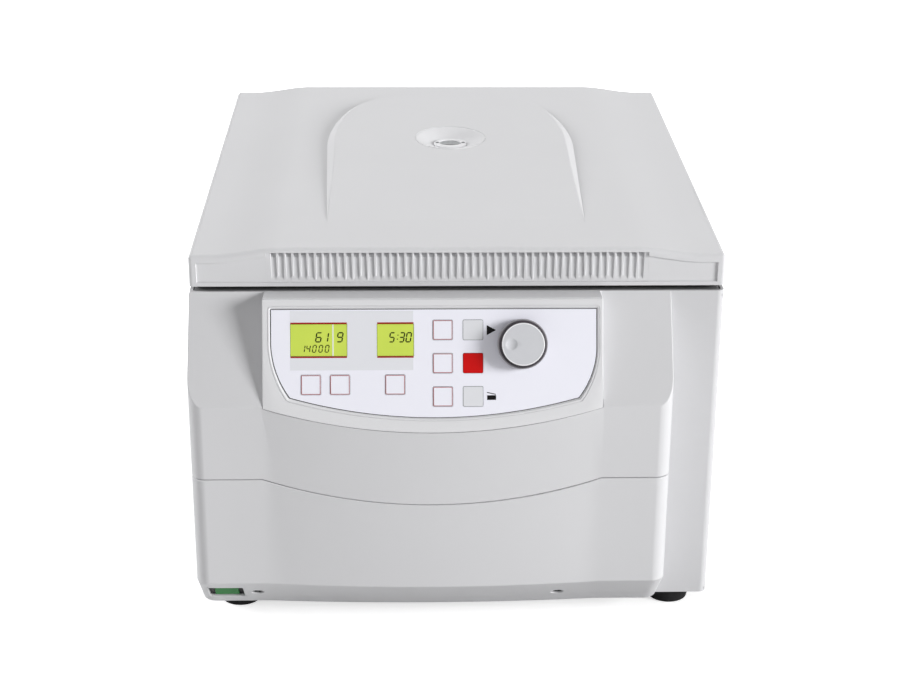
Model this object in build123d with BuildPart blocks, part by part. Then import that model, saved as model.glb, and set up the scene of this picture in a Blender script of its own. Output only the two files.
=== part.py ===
from build123d import *
from math import atan2, cos, degrees, hypot, radians, sin, sqrt, tan
import os

# Benchtop centrifuge. +X is the user's right, +Y the rear, +Z up, all in millimetres.
# The origin is the centre of the bounding box on the table surface.

# Overall size
WIDTH = 430.0
DEPTH = 510.0

# Fits and gaps
FIT = 0.3
PIN_FIT = 0.05
SCREW_FIT = 0.3
KEY_GAP = 0.3

# Fasteners
SCREW_R = 2.5
SCREW_HEAD_R = 4.8
SCREW_HEAD_H = 3.5
PANEL_SCREW_R = 3.2
PANEL_SCREW_H = 2.0

# Housing and base
FOOT_H = 14.0
FOOT_R = 17.0
FOOT_INSET_X = 30.0
FOOT_INSET_Y = 24.0
FOOT_FLARE = 3.0
FOOT_BORE_R = 6.5
FOOT_BORE_H = 7.0
BASE_SLOTS = 12
BASE_SLOT_PITCH = 14.0
BASE_SLOT_L = 40.0
BASE_SLOT_W = 5.0
HOUSING_WALL = 2.5
HOUSING_CORNER_R = 6.0
LEDGE_W = 8.0
LEDGE_T = 2.0
CABLE_WINDOW_H = 60.0
BASE_T = 2.0
DECK_T = 2.5
DECK_DROP = 1.0
COVER_DEPTH = 55.0
REAR_SETBACK = 9.0
DECK_TOP_Z = 287.0

# Lid
LID_GAP = 3.5
LID_WALL = 3.0
LID_CORNER_R = 8.0
LID_FRONT_H = 31.7
LID_SIDE_FRONT_H = 25.8
LID_SLOPE = 4.5
LID_WING_W = 72.0
LID_SETBACK = 58.0
LID_RIM = 3.0
LID_FACE_RECESS = 1.0
LID_ROLL = 3.5
INNER_PLATE_T = 1.5
INNER_PLATE_LIFT = 1.0
SEAL_W = 7.0
SEAL_INSET = 4.0

# Lid grille
GRILLE_PITCH = 6.0
GRILLE_RIB = 2.0
GRILLE_SLOTS = 50
GRILLE_H = 22.0
GRILLE_SLOT_H = 19.0
GRILLE_T = 3.0
GRILLE_SCOOP = 7.0
GRILLE_RISE = 3.8

# Raised arch panel on the lid
ARCH_HALF_FRONT = 107.0
ARCH_HALF_W = 115.0
ARCH_FRONT = 208.0
ARCH_SHOULDER = 6.0
ARCH_HAUNCH_X = 99.0
ARCH_HAUNCH = 100.0
ARCH_CROWN_X = 52.0
ARCH_CROWN = 141.0
ARCH_REAR = 147.5
ARCH_FLANK = 8.0
ARCH_RISE = 6.1
ARCH_SIDE_BOW = 4.6
ARCH_HAUNCH_BOW = 4.8

# Viewing port
PORT_R = 32.5
PORT_DEPTH = 8.0
PORT_RING_R = 15.2
PORT_GLASS_R = 10.0
PORT_RING_T = 3.0
GLASS_T = 3.0
PORT_TUBE_WALL = 2.0

# Chamber and rotor
ROTOR_BACK = 180.0
BOWL_R = 150.0
BOWL_T = 1.5
BOWL_DEPTH = 132.0
BOWL_FLANGE_W = 12.0
BOWL_CORNER_R = 12.0
GASKET_W = 7.0
ROTOR_R = 122.0
ROTOR_NECK_R = 74.0
ROTOR_LIFT = 17.0
ROTOR_FOOT_R = 40.0
ROTOR_H = 86.0
ROTOR_RIM_H = 26.0
POCKETS = 4
POCKET_R = 19.0
POCKET_TILT = 25.0
POCKET_MOUTH_R = 55.0
POCKET_DEPTH = 72.0
NUT_R = 22.0
NUT_H = 17.0
SHAFT_R = 8.0
SHAFT_TOP_R = 6.0
BOOT_R = 34.0
BOOT_LAP = 8.0
BOOT_WALL = 3.0
NUT_SEAT = 4.0
SHAFT_STEP = 10.0
SHAFT_COLLAR_W = 5.0
POCKET_DROP = 8.0
POCKET_LEAD = 32.0

# Drive motor
MOTOR_R = 58.0
MOTOR_H = 64.0
TOWER_R = 28.0
MOTOR_CLEAR = 4.0
MOTOR_PLATE_SIDE = 190.0
MOTOR_PLATE_T = 6.0
MOUNT_SPACING = 156.0
MOUNT_R = 14.0
MOUNT_H = 20.0
POST_R = 10.0
TOWER_GAP = 7.0
MOTOR_BORE_END = 12.0
SHAFT_END_GAP = 2.0

# Front cover
COVER_WALL = 3.0
COVER_MARGIN = 43.5
FACET_SET = 8.2
CREASE_IN = 58.0
COVER_CORNER_R = 12.0
BEVEL_TOP_Z = 50.0
COVER_BOTTOM_Z = 12.5
BEVEL_RUN = 39.3
BULGE_BOTTOM = 5.5
SEAM_Z = 143.5
SEAM_DROP = 19.3
SEAM_GAP = 0.6
SHOULDER_DROP = 81.2

# Console
CONSOLE_TILT = 18.5
CONSOLE_LEDGE = 21.4
CONSOLE_W = 269.5
CONSOLE_IN = 2.0
CONSOLE_OUT = 1.0
CONSOLE_SIDE_LEN = 86.1
CONSOLE_MID_LEN = 105.6
BEZEL_T = 3.0
MEMBRANE_T = 1.0
MEMBRANE_RECESS = 0.2

# Keys, displays and knob, as distances from the console's left and top edges
KEY_SIDE = 15.6
KEY_CORNER_R = 1.0
KEY_PROUD = 0.3
KEY_STEM = 2.4
KEY_TRAVEL = 0.5
KEY_MAIN_IN = 142.4
KEY_RUN_IN = 166.3
KEY_ROWS = (24.2, 50.5, 76.9)
KEY_LOW_ROW = 67.3
KEY_LOW_IN = (38.2, 61.1, 104.7)
LCD_LEFT_IN = 44.5
LCD_LEFT_W = 44.5
LCD_RIGHT_IN = 105.0
LCD_RIGHT_W = 28.7
LCD_DOWN = 32.0
LCD_H = 25.0
KNOB_IN = 205.4
KNOB_DOWN = 35.4
KNOB_SKIRT_R = 19.9
KNOB_SKIRT_H = 9.0
KNOB_LIFT = 0.6
KNOB_CAP_R = 17.5
KNOB_CAP_H = 2.5
DIMPLE_R = 4.7
DIMPLE_OFFSET = 9.3
DIMPLE_DEPTH = 1.0
ENCODER_SHAFT_R = 3.0
ENCODER_SIDE = 14.0
ENCODER_DEPTH = 9.0
BUSHING_R = 4.5
BOARD_T = 1.6
BOARD_GAP = 5.0
BOARD_MARGIN = 6.0
MEMBRANE_LEFT = 7.0
MEMBRANE_RIGHT = 5.5
MEMBRANE_TOP = 7.9
MEMBRANE_MID = 93.3
MEMBRANE_BIAS = 8.0
MEMBRANE_LEFT_RUN = ((0.0, 35.0), (4.0, 57.2), (14.6, 77.4))
MEMBRANE_RIGHT_RUN = ((0.0, 41.0), (4.0, 60.2), (14.0, 78.0))

# Power switch and release pulls in the lower bevel
SWITCH_IN = 22.5
SWITCH_W = 29.0
SWITCH_L = 26.0
SWITCH_BODY_DEPTH = 16.0
SWITCH_RECESS = 3.0
SWITCH_RIM = 0.8
ROCKER_W = 20.0
ROCKER_SINK = 5.0
ROCKER_HIGH = 7.6
ROCKER_MID = 4.6
ROCKER_LOW = 3.6
RELEASE_LEFT_IN = 48.7
RELEASE_RIGHT_IN = 31.5
RELEASE_R = 5.0
RELEASE_BOSS_WALL = 2.5
RELEASE_LEN = 16.0
RELEASE_SETBACK = 1.5

# Latch
LATCH_X = 110.0
LATCH_IN = 28.0
STRIKER_T = 3.0
STRIKER_W = 16.0
STRIKER_DROP = 29.0
STRIKER_HOLE_W = 8.0
STRIKER_HOLE_H = 11.0
LATCH_SHAFT_R = 3.0
LATCH_SHAFT_BACK = 14.0
LATCH_SHAFT_DROP = 26.0
HOOK_T = 5.0
HOOK_ARM_W = 6.0
HOOK_TIP_H = 4.0
HOOK_REACH = 6.0
HOOK_LIFT = 0.5
HOOK_GAP = 2.0
HOOK_SWING = 13.0
STRIKER_SLOT_GAP = 4.0
STRIKER_SILL = 4.0
BRACKET_OFFSET = 14.0
LATCH_BRACKET_TOP = 12.0
LATCH_BRACKET_LOW = 8.0
LATCH_BRACKET_T = 3.0
GEARBOX_W = 22.0
GEARBOX_H = 30.0
GEARBOX_L = 18.0
LATCH_MOTOR_R = 10.0
LATCH_MOTOR_L = 26.0

# Lid hinge
HINGE_X = 120.0
HINGE_PIN_R = 3.0
HINGE_BARREL_R = 5.0
HINGE_BARREL_W = 11.0
HINGE_EAR_W = 6.0
HINGE_DROP = 5.0
HINGE_BEHIND = 3.5
HINGE_NOTCH_GAP = 1.5
NOTCH_DEPTH = 12.0
HINGE_LEAF_T = 2.5
HINGE_LEAF_L = 26.0
BRACKET_L = 30.0
BRACKET_T = 3.0

# Rear panel
PANEL_T = 1.5
PANEL_SIDE = 37.0
PANEL_LOW_Z = 32.0
PANEL_DROP = 29.0
PANEL_LAP = 8.0
FAN_X = 70.0
FAN_Z = 130.0
FAN_SIDE = 92.0
FAN_DEPTH = 25.0
FAN_HUB_R = 18.0
FAN_BLADES = 7
FAN_RIM = 3.0
FAN_SPIDER_T = 3.0
FAN_PIN_R = 1.5
VENT_PITCH = 8.0
VENT_H = 4.0
INLET_X = -110.0
INLET_Z = 70.0
INLET_W = 27.0
INLET_H = 20.0
INLET_DEPTH = 24.0
INLET_EAR = 11.0
INLET_FLANGE_T = 3.0
INLET_WALL = 1.5
INLET_FLOOR_T = 2.0
INLET_PIN = (2.0, 4.0)
INLET_PIN_X = 7.0
INLET_PIN_L = 14.0

os.makedirs("parts", exist_ok=True)

# How cylinders stand on, or hang from, their place
UPRIGHT = (Align.CENTER, Align.CENTER, Align.MIN)
HANGING = (Align.CENTER, Align.CENTER, Align.MAX)

# Worked-out places
HALF_W = WIDTH / 2
FRONT_Y = -DEPTH / 2
REAR_Y = DEPTH / 2
HOUSING_FRONT_Y = FRONT_Y + COVER_DEPTH
HOUSING_REAR_Y = REAR_Y - REAR_SETBACK
LID_FRONT_Y = FRONT_Y + LID_SETBACK
LID_BOTTOM_Z = DECK_TOP_Z + LID_GAP
LID_LEN = REAR_Y - LID_FRONT_Y
DECK_UPPER_Z = DECK_TOP_Z - DECK_DROP
DECK_LOWER_Z = DECK_UPPER_Z - DECK_T
PLATE_Z = LID_BOTTOM_Z + INNER_PLATE_LIFT
FACET_Y = FRONT_Y + FACET_SET
ROTOR_Y = HOUSING_REAR_Y - ROTOR_BACK
BOWL_FLOOR_Z = DECK_TOP_Z - BOWL_DEPTH
ROTOR_BOTTOM_Z = BOWL_FLOOR_Z + ROTOR_LIFT
LATCH_Y = HOUSING_FRONT_Y + LATCH_IN
LID_CREASE_X = HALF_W - LID_WING_W
GRILLE_HALF_W = GRILLE_SLOTS * GRILLE_PITCH / 2
ARCH_FRONT_Y = ROTOR_Y - ARCH_FRONT
ARCH_SHOULDER_Y = ROTOR_Y - ARCH_SHOULDER
ARCH_HAUNCH_Y = ROTOR_Y + ARCH_HAUNCH
ARCH_CROWN_Y = ROTOR_Y + ARCH_CROWN
ARCH_REAR_Y = ROTOR_Y + ARCH_REAR
PANEL_HALF_W = HALF_W - PANEL_SIDE
PANEL_HIGH_Z = DECK_TOP_Z - PANEL_DROP
COVER_RIGHT_X = HALF_W - COVER_MARGIN
CREASE_LEFT_X = -HALF_W + CREASE_IN
CONSOLE_LEFT_X = CREASE_LEFT_X + CONSOLE_IN
CONSOLE_RIGHT_X = CONSOLE_LEFT_X + CONSOLE_W
CREASE_RIGHT_X = CONSOLE_RIGHT_X + CONSOLE_OUT
KNOB_X = CONSOLE_LEFT_X + KNOB_IN
SWITCH_X = -HALF_W + SWITCH_IN
RELEASE_XS = (-HALF_W + RELEASE_LEFT_IN, CREASE_RIGHT_X - RELEASE_RIGHT_IN)
CREASE_MID_X = (CREASE_LEFT_X + CREASE_RIGHT_X) / 2
CREASE_HALF = (CREASE_RIGHT_X - CREASE_LEFT_X) / 2
CONSOLE_TOP_Z = DECK_TOP_Z + 0.5
CONSOLE_TOP_Y = HOUSING_FRONT_Y - CONSOLE_LEDGE
SHOULDER_Z = CONSOLE_TOP_Z - SHOULDER_DROP
FOOT_X = HALF_W - FOOT_INSET_X
FOOT_YS = (HOUSING_FRONT_Y + FOOT_INSET_Y, HOUSING_REAR_Y - FOOT_INSET_Y)
FOOT_PLACES = [(x, y) for x in (-FOOT_X, FOOT_X) for y in FOOT_YS]
HINGE_Y = HOUSING_REAR_Y + HINGE_BEHIND
HINGE_Z = DECK_TOP_Z - HINGE_DROP

CONSOLE_PLANE = Plane(
    origin=(0, CONSOLE_TOP_Y, CONSOLE_TOP_Z),
    x_dir=(1, 0, 0),
    z_dir=(0, -cos(radians(CONSOLE_TILT)), sin(radians(CONSOLE_TILT))),
)
LID_PLANE = Plane(
    origin=(0, LID_FRONT_Y, LID_BOTTOM_Z + LID_FRONT_H),
    x_dir=(1, 0, 0),
    z_dir=(0, -sin(radians(LID_SLOPE)), cos(radians(LID_SLOPE))),
)
LID_RUN = Vector(0, cos(radians(LID_SLOPE)), sin(radians(LID_SLOPE)))


def write_piece(piece, name):
    """Label a finished piece and write it as one STEP file."""
    piece.part.label = name
    export_step(piece.part, f"parts/{name}.step")


def lid_top(y):
    """Height of the lid's flat top over a point y."""
    return LID_BOTTOM_Z + LID_FRONT_H + (y - LID_FRONT_Y) * tan(radians(LID_SLOPE))


def box_between(low, high):
    """A box solid between two corners, for cuts."""
    size = [b - a for a, b in zip(low, high)]
    centre = [(a + b) / 2 for a, b in zip(low, high)]
    return Pos(*centre) * Box(*size)


# Base plate, feet and their screws
with BuildPart() as base_plate:
    with BuildSketch(Plane.XY.offset(FOOT_H)):
        with Locations((0, (HOUSING_FRONT_Y + HOUSING_REAR_Y) / 2)):
            RectangleRounded(
                WIDTH - 2 * (HOUSING_WALL + FIT),
                HOUSING_REAR_Y - HOUSING_FRONT_Y - 2 * (HOUSING_WALL + FIT),
                HOUSING_CORNER_R - HOUSING_WALL - FIT,
            )
        with Locations(*FOOT_PLACES):
            Circle(SCREW_R + SCREW_FIT, mode=Mode.SUBTRACT)
        with Locations((0, HOUSING_FRONT_Y / 2)):
            with GridLocations(BASE_SLOT_PITCH, 0, BASE_SLOTS, 1):
                SlotOverall(BASE_SLOT_L, BASE_SLOT_W, rotation=90, mode=Mode.SUBTRACT)
    extrude(amount=BASE_T)
write_piece(base_plate, "base_plate")

with BuildPart() as feet:
    with Locations(*[(x, y, 0) for x, y in FOOT_PLACES]):
        Cone(FOOT_R, FOOT_R + FOOT_FLARE, FOOT_H, align=UPRIGHT)
    with Locations(*[(x, y, 0) for x, y in FOOT_PLACES]):
        Cylinder(SCREW_R + SCREW_FIT, FOOT_H, align=UPRIGHT, mode=Mode.SUBTRACT)
        Cylinder(FOOT_BORE_R, FOOT_BORE_H, align=UPRIGHT, mode=Mode.SUBTRACT)
write_piece(feet, "feet")

with BuildPart() as foot_screws:
    head_z = FOOT_BORE_H - SCREW_HEAD_H
    with Locations(*[(x, y, head_z) for x, y in FOOT_PLACES]):
        Cylinder(SCREW_HEAD_R, SCREW_HEAD_H, align=UPRIGHT)
        Cylinder(SCREW_R, FOOT_H + BASE_T + 2, align=UPRIGHT)
write_piece(foot_screws, "foot_screws")

# Housing: four painted walls with a ledge for the base plate and one for the deck
HOUSING_MID_Y = (HOUSING_FRONT_Y + HOUSING_REAR_Y) / 2
HOUSING_LEN = HOUSING_REAR_Y - HOUSING_FRONT_Y
NOTCH_HALF = HINGE_BARREL_W / 2 + HINGE_EAR_W + HINGE_NOTCH_GAP
hinge_notches = [
    box_between(
        (x - NOTCH_HALF, HOUSING_REAR_Y - HOUSING_WALL - LEDGE_W - 1, HINGE_Z - NOTCH_DEPTH),
        (x + NOTCH_HALF, HOUSING_REAR_Y + 1, DECK_TOP_Z + 1),
    )
    for x in (-HINGE_X, HINGE_X)
]
with BuildPart() as housing:
    with BuildSketch(Plane.XY.offset(FOOT_H)):
        with Locations((0, HOUSING_MID_Y)):
            RectangleRounded(WIDTH, HOUSING_LEN, HOUSING_CORNER_R)
    extrude(amount=DECK_TOP_Z - FOOT_H)
    with BuildSketch(Plane.XY.offset(FOOT_H)):
        with Locations((0, HOUSING_MID_Y)):
            RectangleRounded(
                WIDTH - 2 * HOUSING_WALL,
                HOUSING_LEN - 2 * HOUSING_WALL,
                HOUSING_CORNER_R - HOUSING_WALL,
            )
    extrude(amount=DECK_TOP_Z - FOOT_H, mode=Mode.SUBTRACT)
    for ledge_z in (FOOT_H + BASE_T, DECK_LOWER_Z - LEDGE_T):
        with BuildSketch(Plane.XY.offset(ledge_z)):
            with Locations((0, HOUSING_MID_Y)):
                Rectangle(WIDTH - HOUSING_WALL, HOUSING_LEN - HOUSING_WALL)
                Rectangle(
                    WIDTH - 2 * (HOUSING_WALL + LEDGE_W),
                    HOUSING_LEN - 2 * (HOUSING_WALL + LEDGE_W),
                    mode=Mode.SUBTRACT,
                )
        extrude(amount=LEDGE_T)
    with BuildSketch(Plane.XZ.offset(-HOUSING_REAR_Y)):
        with Locations((0, (PANEL_LOW_Z + PANEL_HIGH_Z) / 2)):
            Rectangle(
                2 * (PANEL_HALF_W - PANEL_LAP),
                PANEL_HIGH_Z - PANEL_LOW_Z - 2 * PANEL_LAP,
            )
    extrude(amount=HOUSING_WALL, mode=Mode.SUBTRACT)
    with BuildSketch(Plane.XZ.offset(-HOUSING_FRONT_Y)):
        with Locations((CREASE_MID_X, SHOULDER_Z)):
            Rectangle(CREASE_HALF, CABLE_WINDOW_H)
    extrude(amount=-HOUSING_WALL, mode=Mode.SUBTRACT)
    add(hinge_notches, mode=Mode.SUBTRACT)
write_piece(housing, "housing")

# Deck: the top plate round the chamber, with slots for the lid's strikers
with BuildPart() as deck_plate:
    with BuildSketch(Plane.XY.offset(DECK_LOWER_Z)):
        with Locations((0, HOUSING_MID_Y)):
            RectangleRounded(
                WIDTH - 2 * (HOUSING_WALL + FIT),
                HOUSING_LEN - 2 * (HOUSING_WALL + FIT),
                HOUSING_CORNER_R - HOUSING_WALL - FIT,
            )
        with Locations((0, ROTOR_Y)):
            Circle(BOWL_R + BOWL_T + 2 * FIT, mode=Mode.SUBTRACT)
        with Locations((-LATCH_X, LATCH_Y), (LATCH_X, LATCH_Y)):
            RectangleRounded(
                STRIKER_W + 2 * STRIKER_SLOT_GAP,
                STRIKER_T + HOOK_SWING,
                3,
                mode=Mode.SUBTRACT,
            )
    extrude(amount=DECK_T)
write_piece(deck_plate, "deck_plate")

# Chamber bowl with its flange on the deck, and the ring gasket on the flange
BOWL_AXIS = Plane(origin=(0, ROTOR_Y, 0), x_dir=(1, 0, 0), z_dir=(0, -1, 0))
with BuildPart() as chamber_bowl:
    with BuildSketch(BOWL_AXIS):
        with BuildLine():
            corner = BOWL_CORNER_R
            Polyline(
                (BOOT_R, BOWL_FLOOR_Z - BOWL_T),
                (BOOT_R, BOWL_FLOOR_Z),
                (BOWL_R - corner, BOWL_FLOOR_Z),
            )
            CenterArc((BOWL_R - corner, BOWL_FLOOR_Z + corner), corner, -90, 90)
            Polyline(
                (BOWL_R, BOWL_FLOOR_Z + corner),
                (BOWL_R, DECK_UPPER_Z + BOWL_T),
                (BOWL_R + BOWL_FLANGE_W, DECK_UPPER_Z + BOWL_T),
                (BOWL_R + BOWL_FLANGE_W, DECK_UPPER_Z),
                (BOWL_R + BOWL_T, DECK_UPPER_Z),
                (BOWL_R + BOWL_T, BOWL_FLOOR_Z + corner),
            )
            CenterArc(
                (BOWL_R - corner, BOWL_FLOOR_Z + corner), corner + BOWL_T, 0, -90
            )
            Line(
                (BOWL_R - corner, BOWL_FLOOR_Z - BOWL_T),
                (BOOT_R, BOWL_FLOOR_Z - BOWL_T),
            )
        make_face()
    revolve(axis=Axis((0, ROTOR_Y, 0), (0, 0, 1)))
write_piece(chamber_bowl, "chamber_bowl")

GASKET_LOW_Z = DECK_UPPER_Z + BOWL_T
with BuildPart() as bowl_gasket:
    with BuildSketch(BOWL_AXIS):
        with Locations((BOWL_R + BOWL_FLANGE_W / 2, (GASKET_LOW_Z + PLATE_Z - FIT) / 2)):
            RectangleRounded(GASKET_W, PLATE_Z - FIT - GASKET_LOW_Z, 1.2)
    revolve(axis=Axis((0, ROTOR_Y, 0), (0, 0, 1)))
write_piece(bowl_gasket, "bowl_gasket")

# Motor on a plate that floats on four rubber mounts
BASE_UPPER_Z = FOOT_H + BASE_T
TOWER_TOP_Z = BOWL_FLOOR_Z - TOWER_GAP
MOTOR_PLATE_Z = BASE_UPPER_Z + MOTOR_CLEAR + MOTOR_H
TOWER_H = TOWER_TOP_Z - MOTOR_PLATE_Z - MOTOR_PLATE_T
MOUNT_Z = MOTOR_PLATE_Z - MOUNT_H
POST_H = MOUNT_Z - BASE_UPPER_Z
with BuildPart() as motor_posts:
    with Locations((0, ROTOR_Y, BASE_UPPER_Z)):
        with GridLocations(MOUNT_SPACING, MOUNT_SPACING, 2, 2):
            Cylinder(POST_R, POST_H, align=UPRIGHT)
write_piece(motor_posts, "motor_posts")

with BuildPart() as vibration_mounts:
    with Locations((0, ROTOR_Y, MOUNT_Z)):
        with GridLocations(MOUNT_SPACING, MOUNT_SPACING, 2, 2):
            Cylinder(MOUNT_R, MOUNT_H, align=UPRIGHT)
    for band in (0.3, 0.7):
        with Locations((0, ROTOR_Y, MOUNT_Z + band * MOUNT_H)):
            with GridLocations(MOUNT_SPACING, MOUNT_SPACING, 2, 2):
                Torus(MOUNT_R + 0.5, 1.8, mode=Mode.SUBTRACT)
write_piece(vibration_mounts, "vibration_mounts")

with BuildPart() as motor_plate:
    with BuildSketch(Plane.XY.offset(MOTOR_PLATE_Z)):
        with Locations((0, ROTOR_Y)):
            RectangleRounded(MOTOR_PLATE_SIDE, MOTOR_PLATE_SIDE, 12)
            Circle(TOWER_R + FIT, mode=Mode.SUBTRACT)
    extrude(amount=MOTOR_PLATE_T)
write_piece(motor_plate, "motor_plate")

with BuildPart() as motor_housing:
    with Locations((0, ROTOR_Y, MOTOR_PLATE_Z)):
        Cylinder(MOTOR_R, MOTOR_H, align=HANGING)
        Cylinder(
            TOWER_R,
            MOTOR_PLATE_T + TOWER_H,
            align=UPRIGHT,
        )
    with Locations((0, ROTOR_Y, TOWER_TOP_Z)):
        Cylinder(
            SHAFT_R + PIN_FIT,
            TOWER_H + MOTOR_PLATE_T + MOTOR_H - MOTOR_BORE_END,
            align=HANGING,
            mode=Mode.SUBTRACT,
        )
write_piece(motor_housing, "motor_housing")

with BuildPart() as shaft_boot:
    with BuildSketch(BOWL_AXIS):
        with BuildLine():
            Polyline(
                (TOWER_R + PIN_FIT, TOWER_TOP_Z - BOOT_LAP),
                (TOWER_R + BOOT_WALL, TOWER_TOP_Z - BOOT_LAP),
                (TOWER_R + BOOT_WALL, BOWL_FLOOR_Z - BOWL_T - BOOT_WALL),
                (BOOT_R - PIN_FIT, BOWL_FLOOR_Z - BOWL_T - 2),
                (BOOT_R - PIN_FIT, BOWL_FLOOR_Z),
                (BOOT_R + BOOT_LAP, BOWL_FLOOR_Z),
                (BOOT_R + BOOT_LAP, BOWL_FLOOR_Z + 2.5),
                (SHAFT_R + 6, BOWL_FLOOR_Z + 4),
                (SHAFT_R + 6, BOWL_FLOOR_Z + 1),
                (TOWER_R + PIN_FIT, BOWL_FLOOR_Z - 1),
                close=True,
            )
        make_face()
    revolve(axis=Axis((0, ROTOR_Y, 0), (0, 0, 1)))
write_piece(shaft_boot, "shaft_boot")

# Rotor: drive shaft, angled four-place rotor and its hub nut
ROTOR_TOP_Z = ROTOR_BOTTOM_Z + ROTOR_H
SHAFT_LOW_Z = MOTOR_PLATE_Z - MOTOR_H + MOTOR_BORE_END + SHAFT_END_GAP
SHAFT_STEP_Z = ROTOR_TOP_Z - SHAFT_STEP
with BuildPart() as drive_shaft:
    with Locations((0, ROTOR_Y, SHAFT_LOW_Z)):
        Cylinder(SHAFT_R, SHAFT_STEP_Z - SHAFT_LOW_Z, align=UPRIGHT)
    with Locations((0, ROTOR_Y, SHAFT_STEP_Z)):
        Cylinder(SHAFT_TOP_R, SHAFT_STEP - NUT_SEAT + NUT_H, align=UPRIGHT)
    with Locations((0, ROTOR_Y, ROTOR_BOTTOM_Z - SHAFT_COLLAR_W)):
        Cylinder(SHAFT_R + SHAFT_COLLAR_W, SHAFT_COLLAR_W, align=UPRIGHT)
write_piece(drive_shaft, "drive_shaft")

POCKET_AXES = []
for turn in range(POCKETS):
    bearing = radians(360 / POCKETS * (turn + 0.5))
    outward = Vector(cos(bearing), sin(bearing), 0)
    mouth = Vector(0, ROTOR_Y, ROTOR_TOP_Z - POCKET_DROP) + outward * POCKET_MOUTH_R
    down = outward * sin(radians(POCKET_TILT)) - Vector(0, 0, cos(radians(POCKET_TILT)))
    POCKET_AXES.append((mouth, down))
pocket_tools = []
for mouth, down in POCKET_AXES:
    line = Plane(origin=mouth - down * (POCKET_DROP + POCKET_LEAD), z_dir=down)
    length = POCKET_DEPTH + POCKET_LEAD
    pocket_tools.append(line * Pos(0, 0, length / 2) * Cylinder(POCKET_R, length))
with BuildPart() as rotor:
    with BuildSketch(BOWL_AXIS):
        with BuildLine():
            Polyline(
                (SHAFT_R + PIN_FIT, ROTOR_BOTTOM_Z),
                (ROTOR_FOOT_R, ROTOR_BOTTOM_Z),
                (ROTOR_FOOT_R + 6, ROTOR_BOTTOM_Z + 6),
                (ROTOR_R - 24, ROTOR_BOTTOM_Z + 2),
                (ROTOR_R - 4, ROTOR_BOTTOM_Z + 2),
                (ROTOR_R, ROTOR_BOTTOM_Z + 6),
                (ROTOR_R, ROTOR_BOTTOM_Z + ROTOR_RIM_H),
                (ROTOR_NECK_R + 8, ROTOR_TOP_Z - 3),
                (ROTOR_NECK_R, ROTOR_TOP_Z),
                (NUT_R + 8, ROTOR_TOP_Z),
                (NUT_R + 3, ROTOR_TOP_Z - NUT_SEAT),
                (SHAFT_TOP_R + PIN_FIT, ROTOR_TOP_Z - NUT_SEAT),
                (SHAFT_TOP_R + PIN_FIT, SHAFT_STEP_Z),
                (SHAFT_R + PIN_FIT, SHAFT_STEP_Z),
                close=True,
            )
        make_face()
    revolve(axis=Axis((0, ROTOR_Y, 0), (0, 0, 1)))
    add(pocket_tools, mode=Mode.SUBTRACT)
write_piece(rotor, "rotor")

with BuildPart() as rotor_nut:
    with BuildSketch(Plane.XY.offset(ROTOR_TOP_Z - NUT_SEAT)):
        with Locations((0, ROTOR_Y)):
            Circle(NUT_R)
            with PolarLocations(NUT_R + 3, 6):
                Circle(6, mode=Mode.SUBTRACT)
            Circle(SHAFT_TOP_R + PIN_FIT, mode=Mode.SUBTRACT)
    extrude(amount=NUT_H)
    chamfer(rotor_nut.faces().sort_by(Axis.Z)[-1].edges().filter_by(GeomType.CIRCLE), 1)
write_piece(rotor_nut, "rotor_nut")


# Lid: a wedge shell, higher at the rear, with a flat top between two creases
def lid_blank(inset):
    """The lid's solid outer form, moved inwards by an inset."""
    drop = inset / cos(radians(LID_SLOPE))
    pitch = (LID_FRONT_H - LID_SIDE_FRONT_H) / (HALF_W - LID_CREASE_X)
    lift = inset * tan(radians(LID_SLOPE)) - drop
    top_z = LID_BOTTOM_Z + LID_FRONT_H + lift
    side_z = LID_BOTTOM_Z + LID_SIDE_FRONT_H + lift + inset * pitch
    half = HALF_W - inset
    with BuildPart() as blank:
        with BuildSketch(Plane.XZ.offset(-(LID_FRONT_Y + inset))) as profile:
            with BuildLine():
                Polyline(
                    (-half, LID_BOTTOM_Z - LID_LEN),
                    (-half, side_z),
                    (-LID_CREASE_X, top_z),
                    (LID_CREASE_X, top_z),
                    (half, side_z),
                    (half, LID_BOTTOM_Z - LID_LEN),
                    close=True,
                )
            make_face()
            side_corners = profile.vertices().filter_by(
                lambda v: abs(abs(v.X) - half) < 0.01 and v.Z > LID_BOTTOM_Z
            )
            fillet(side_corners, max(LID_ROLL - inset, 0.5))
        extrude(amount=(LID_LEN - 2 * inset) / cos(radians(LID_SLOPE)), dir=LID_RUN)
        with BuildSketch(Plane.XY.offset(LID_BOTTOM_Z)):
            with Locations((0, (LID_FRONT_Y + REAR_Y) / 2)):
                RectangleRounded(
                    2 * half, LID_LEN - 2 * inset, max(LID_CORNER_R - inset, 1)
                )
        extrude(amount=LID_LEN, mode=Mode.INTERSECT)
    return blank


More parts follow.
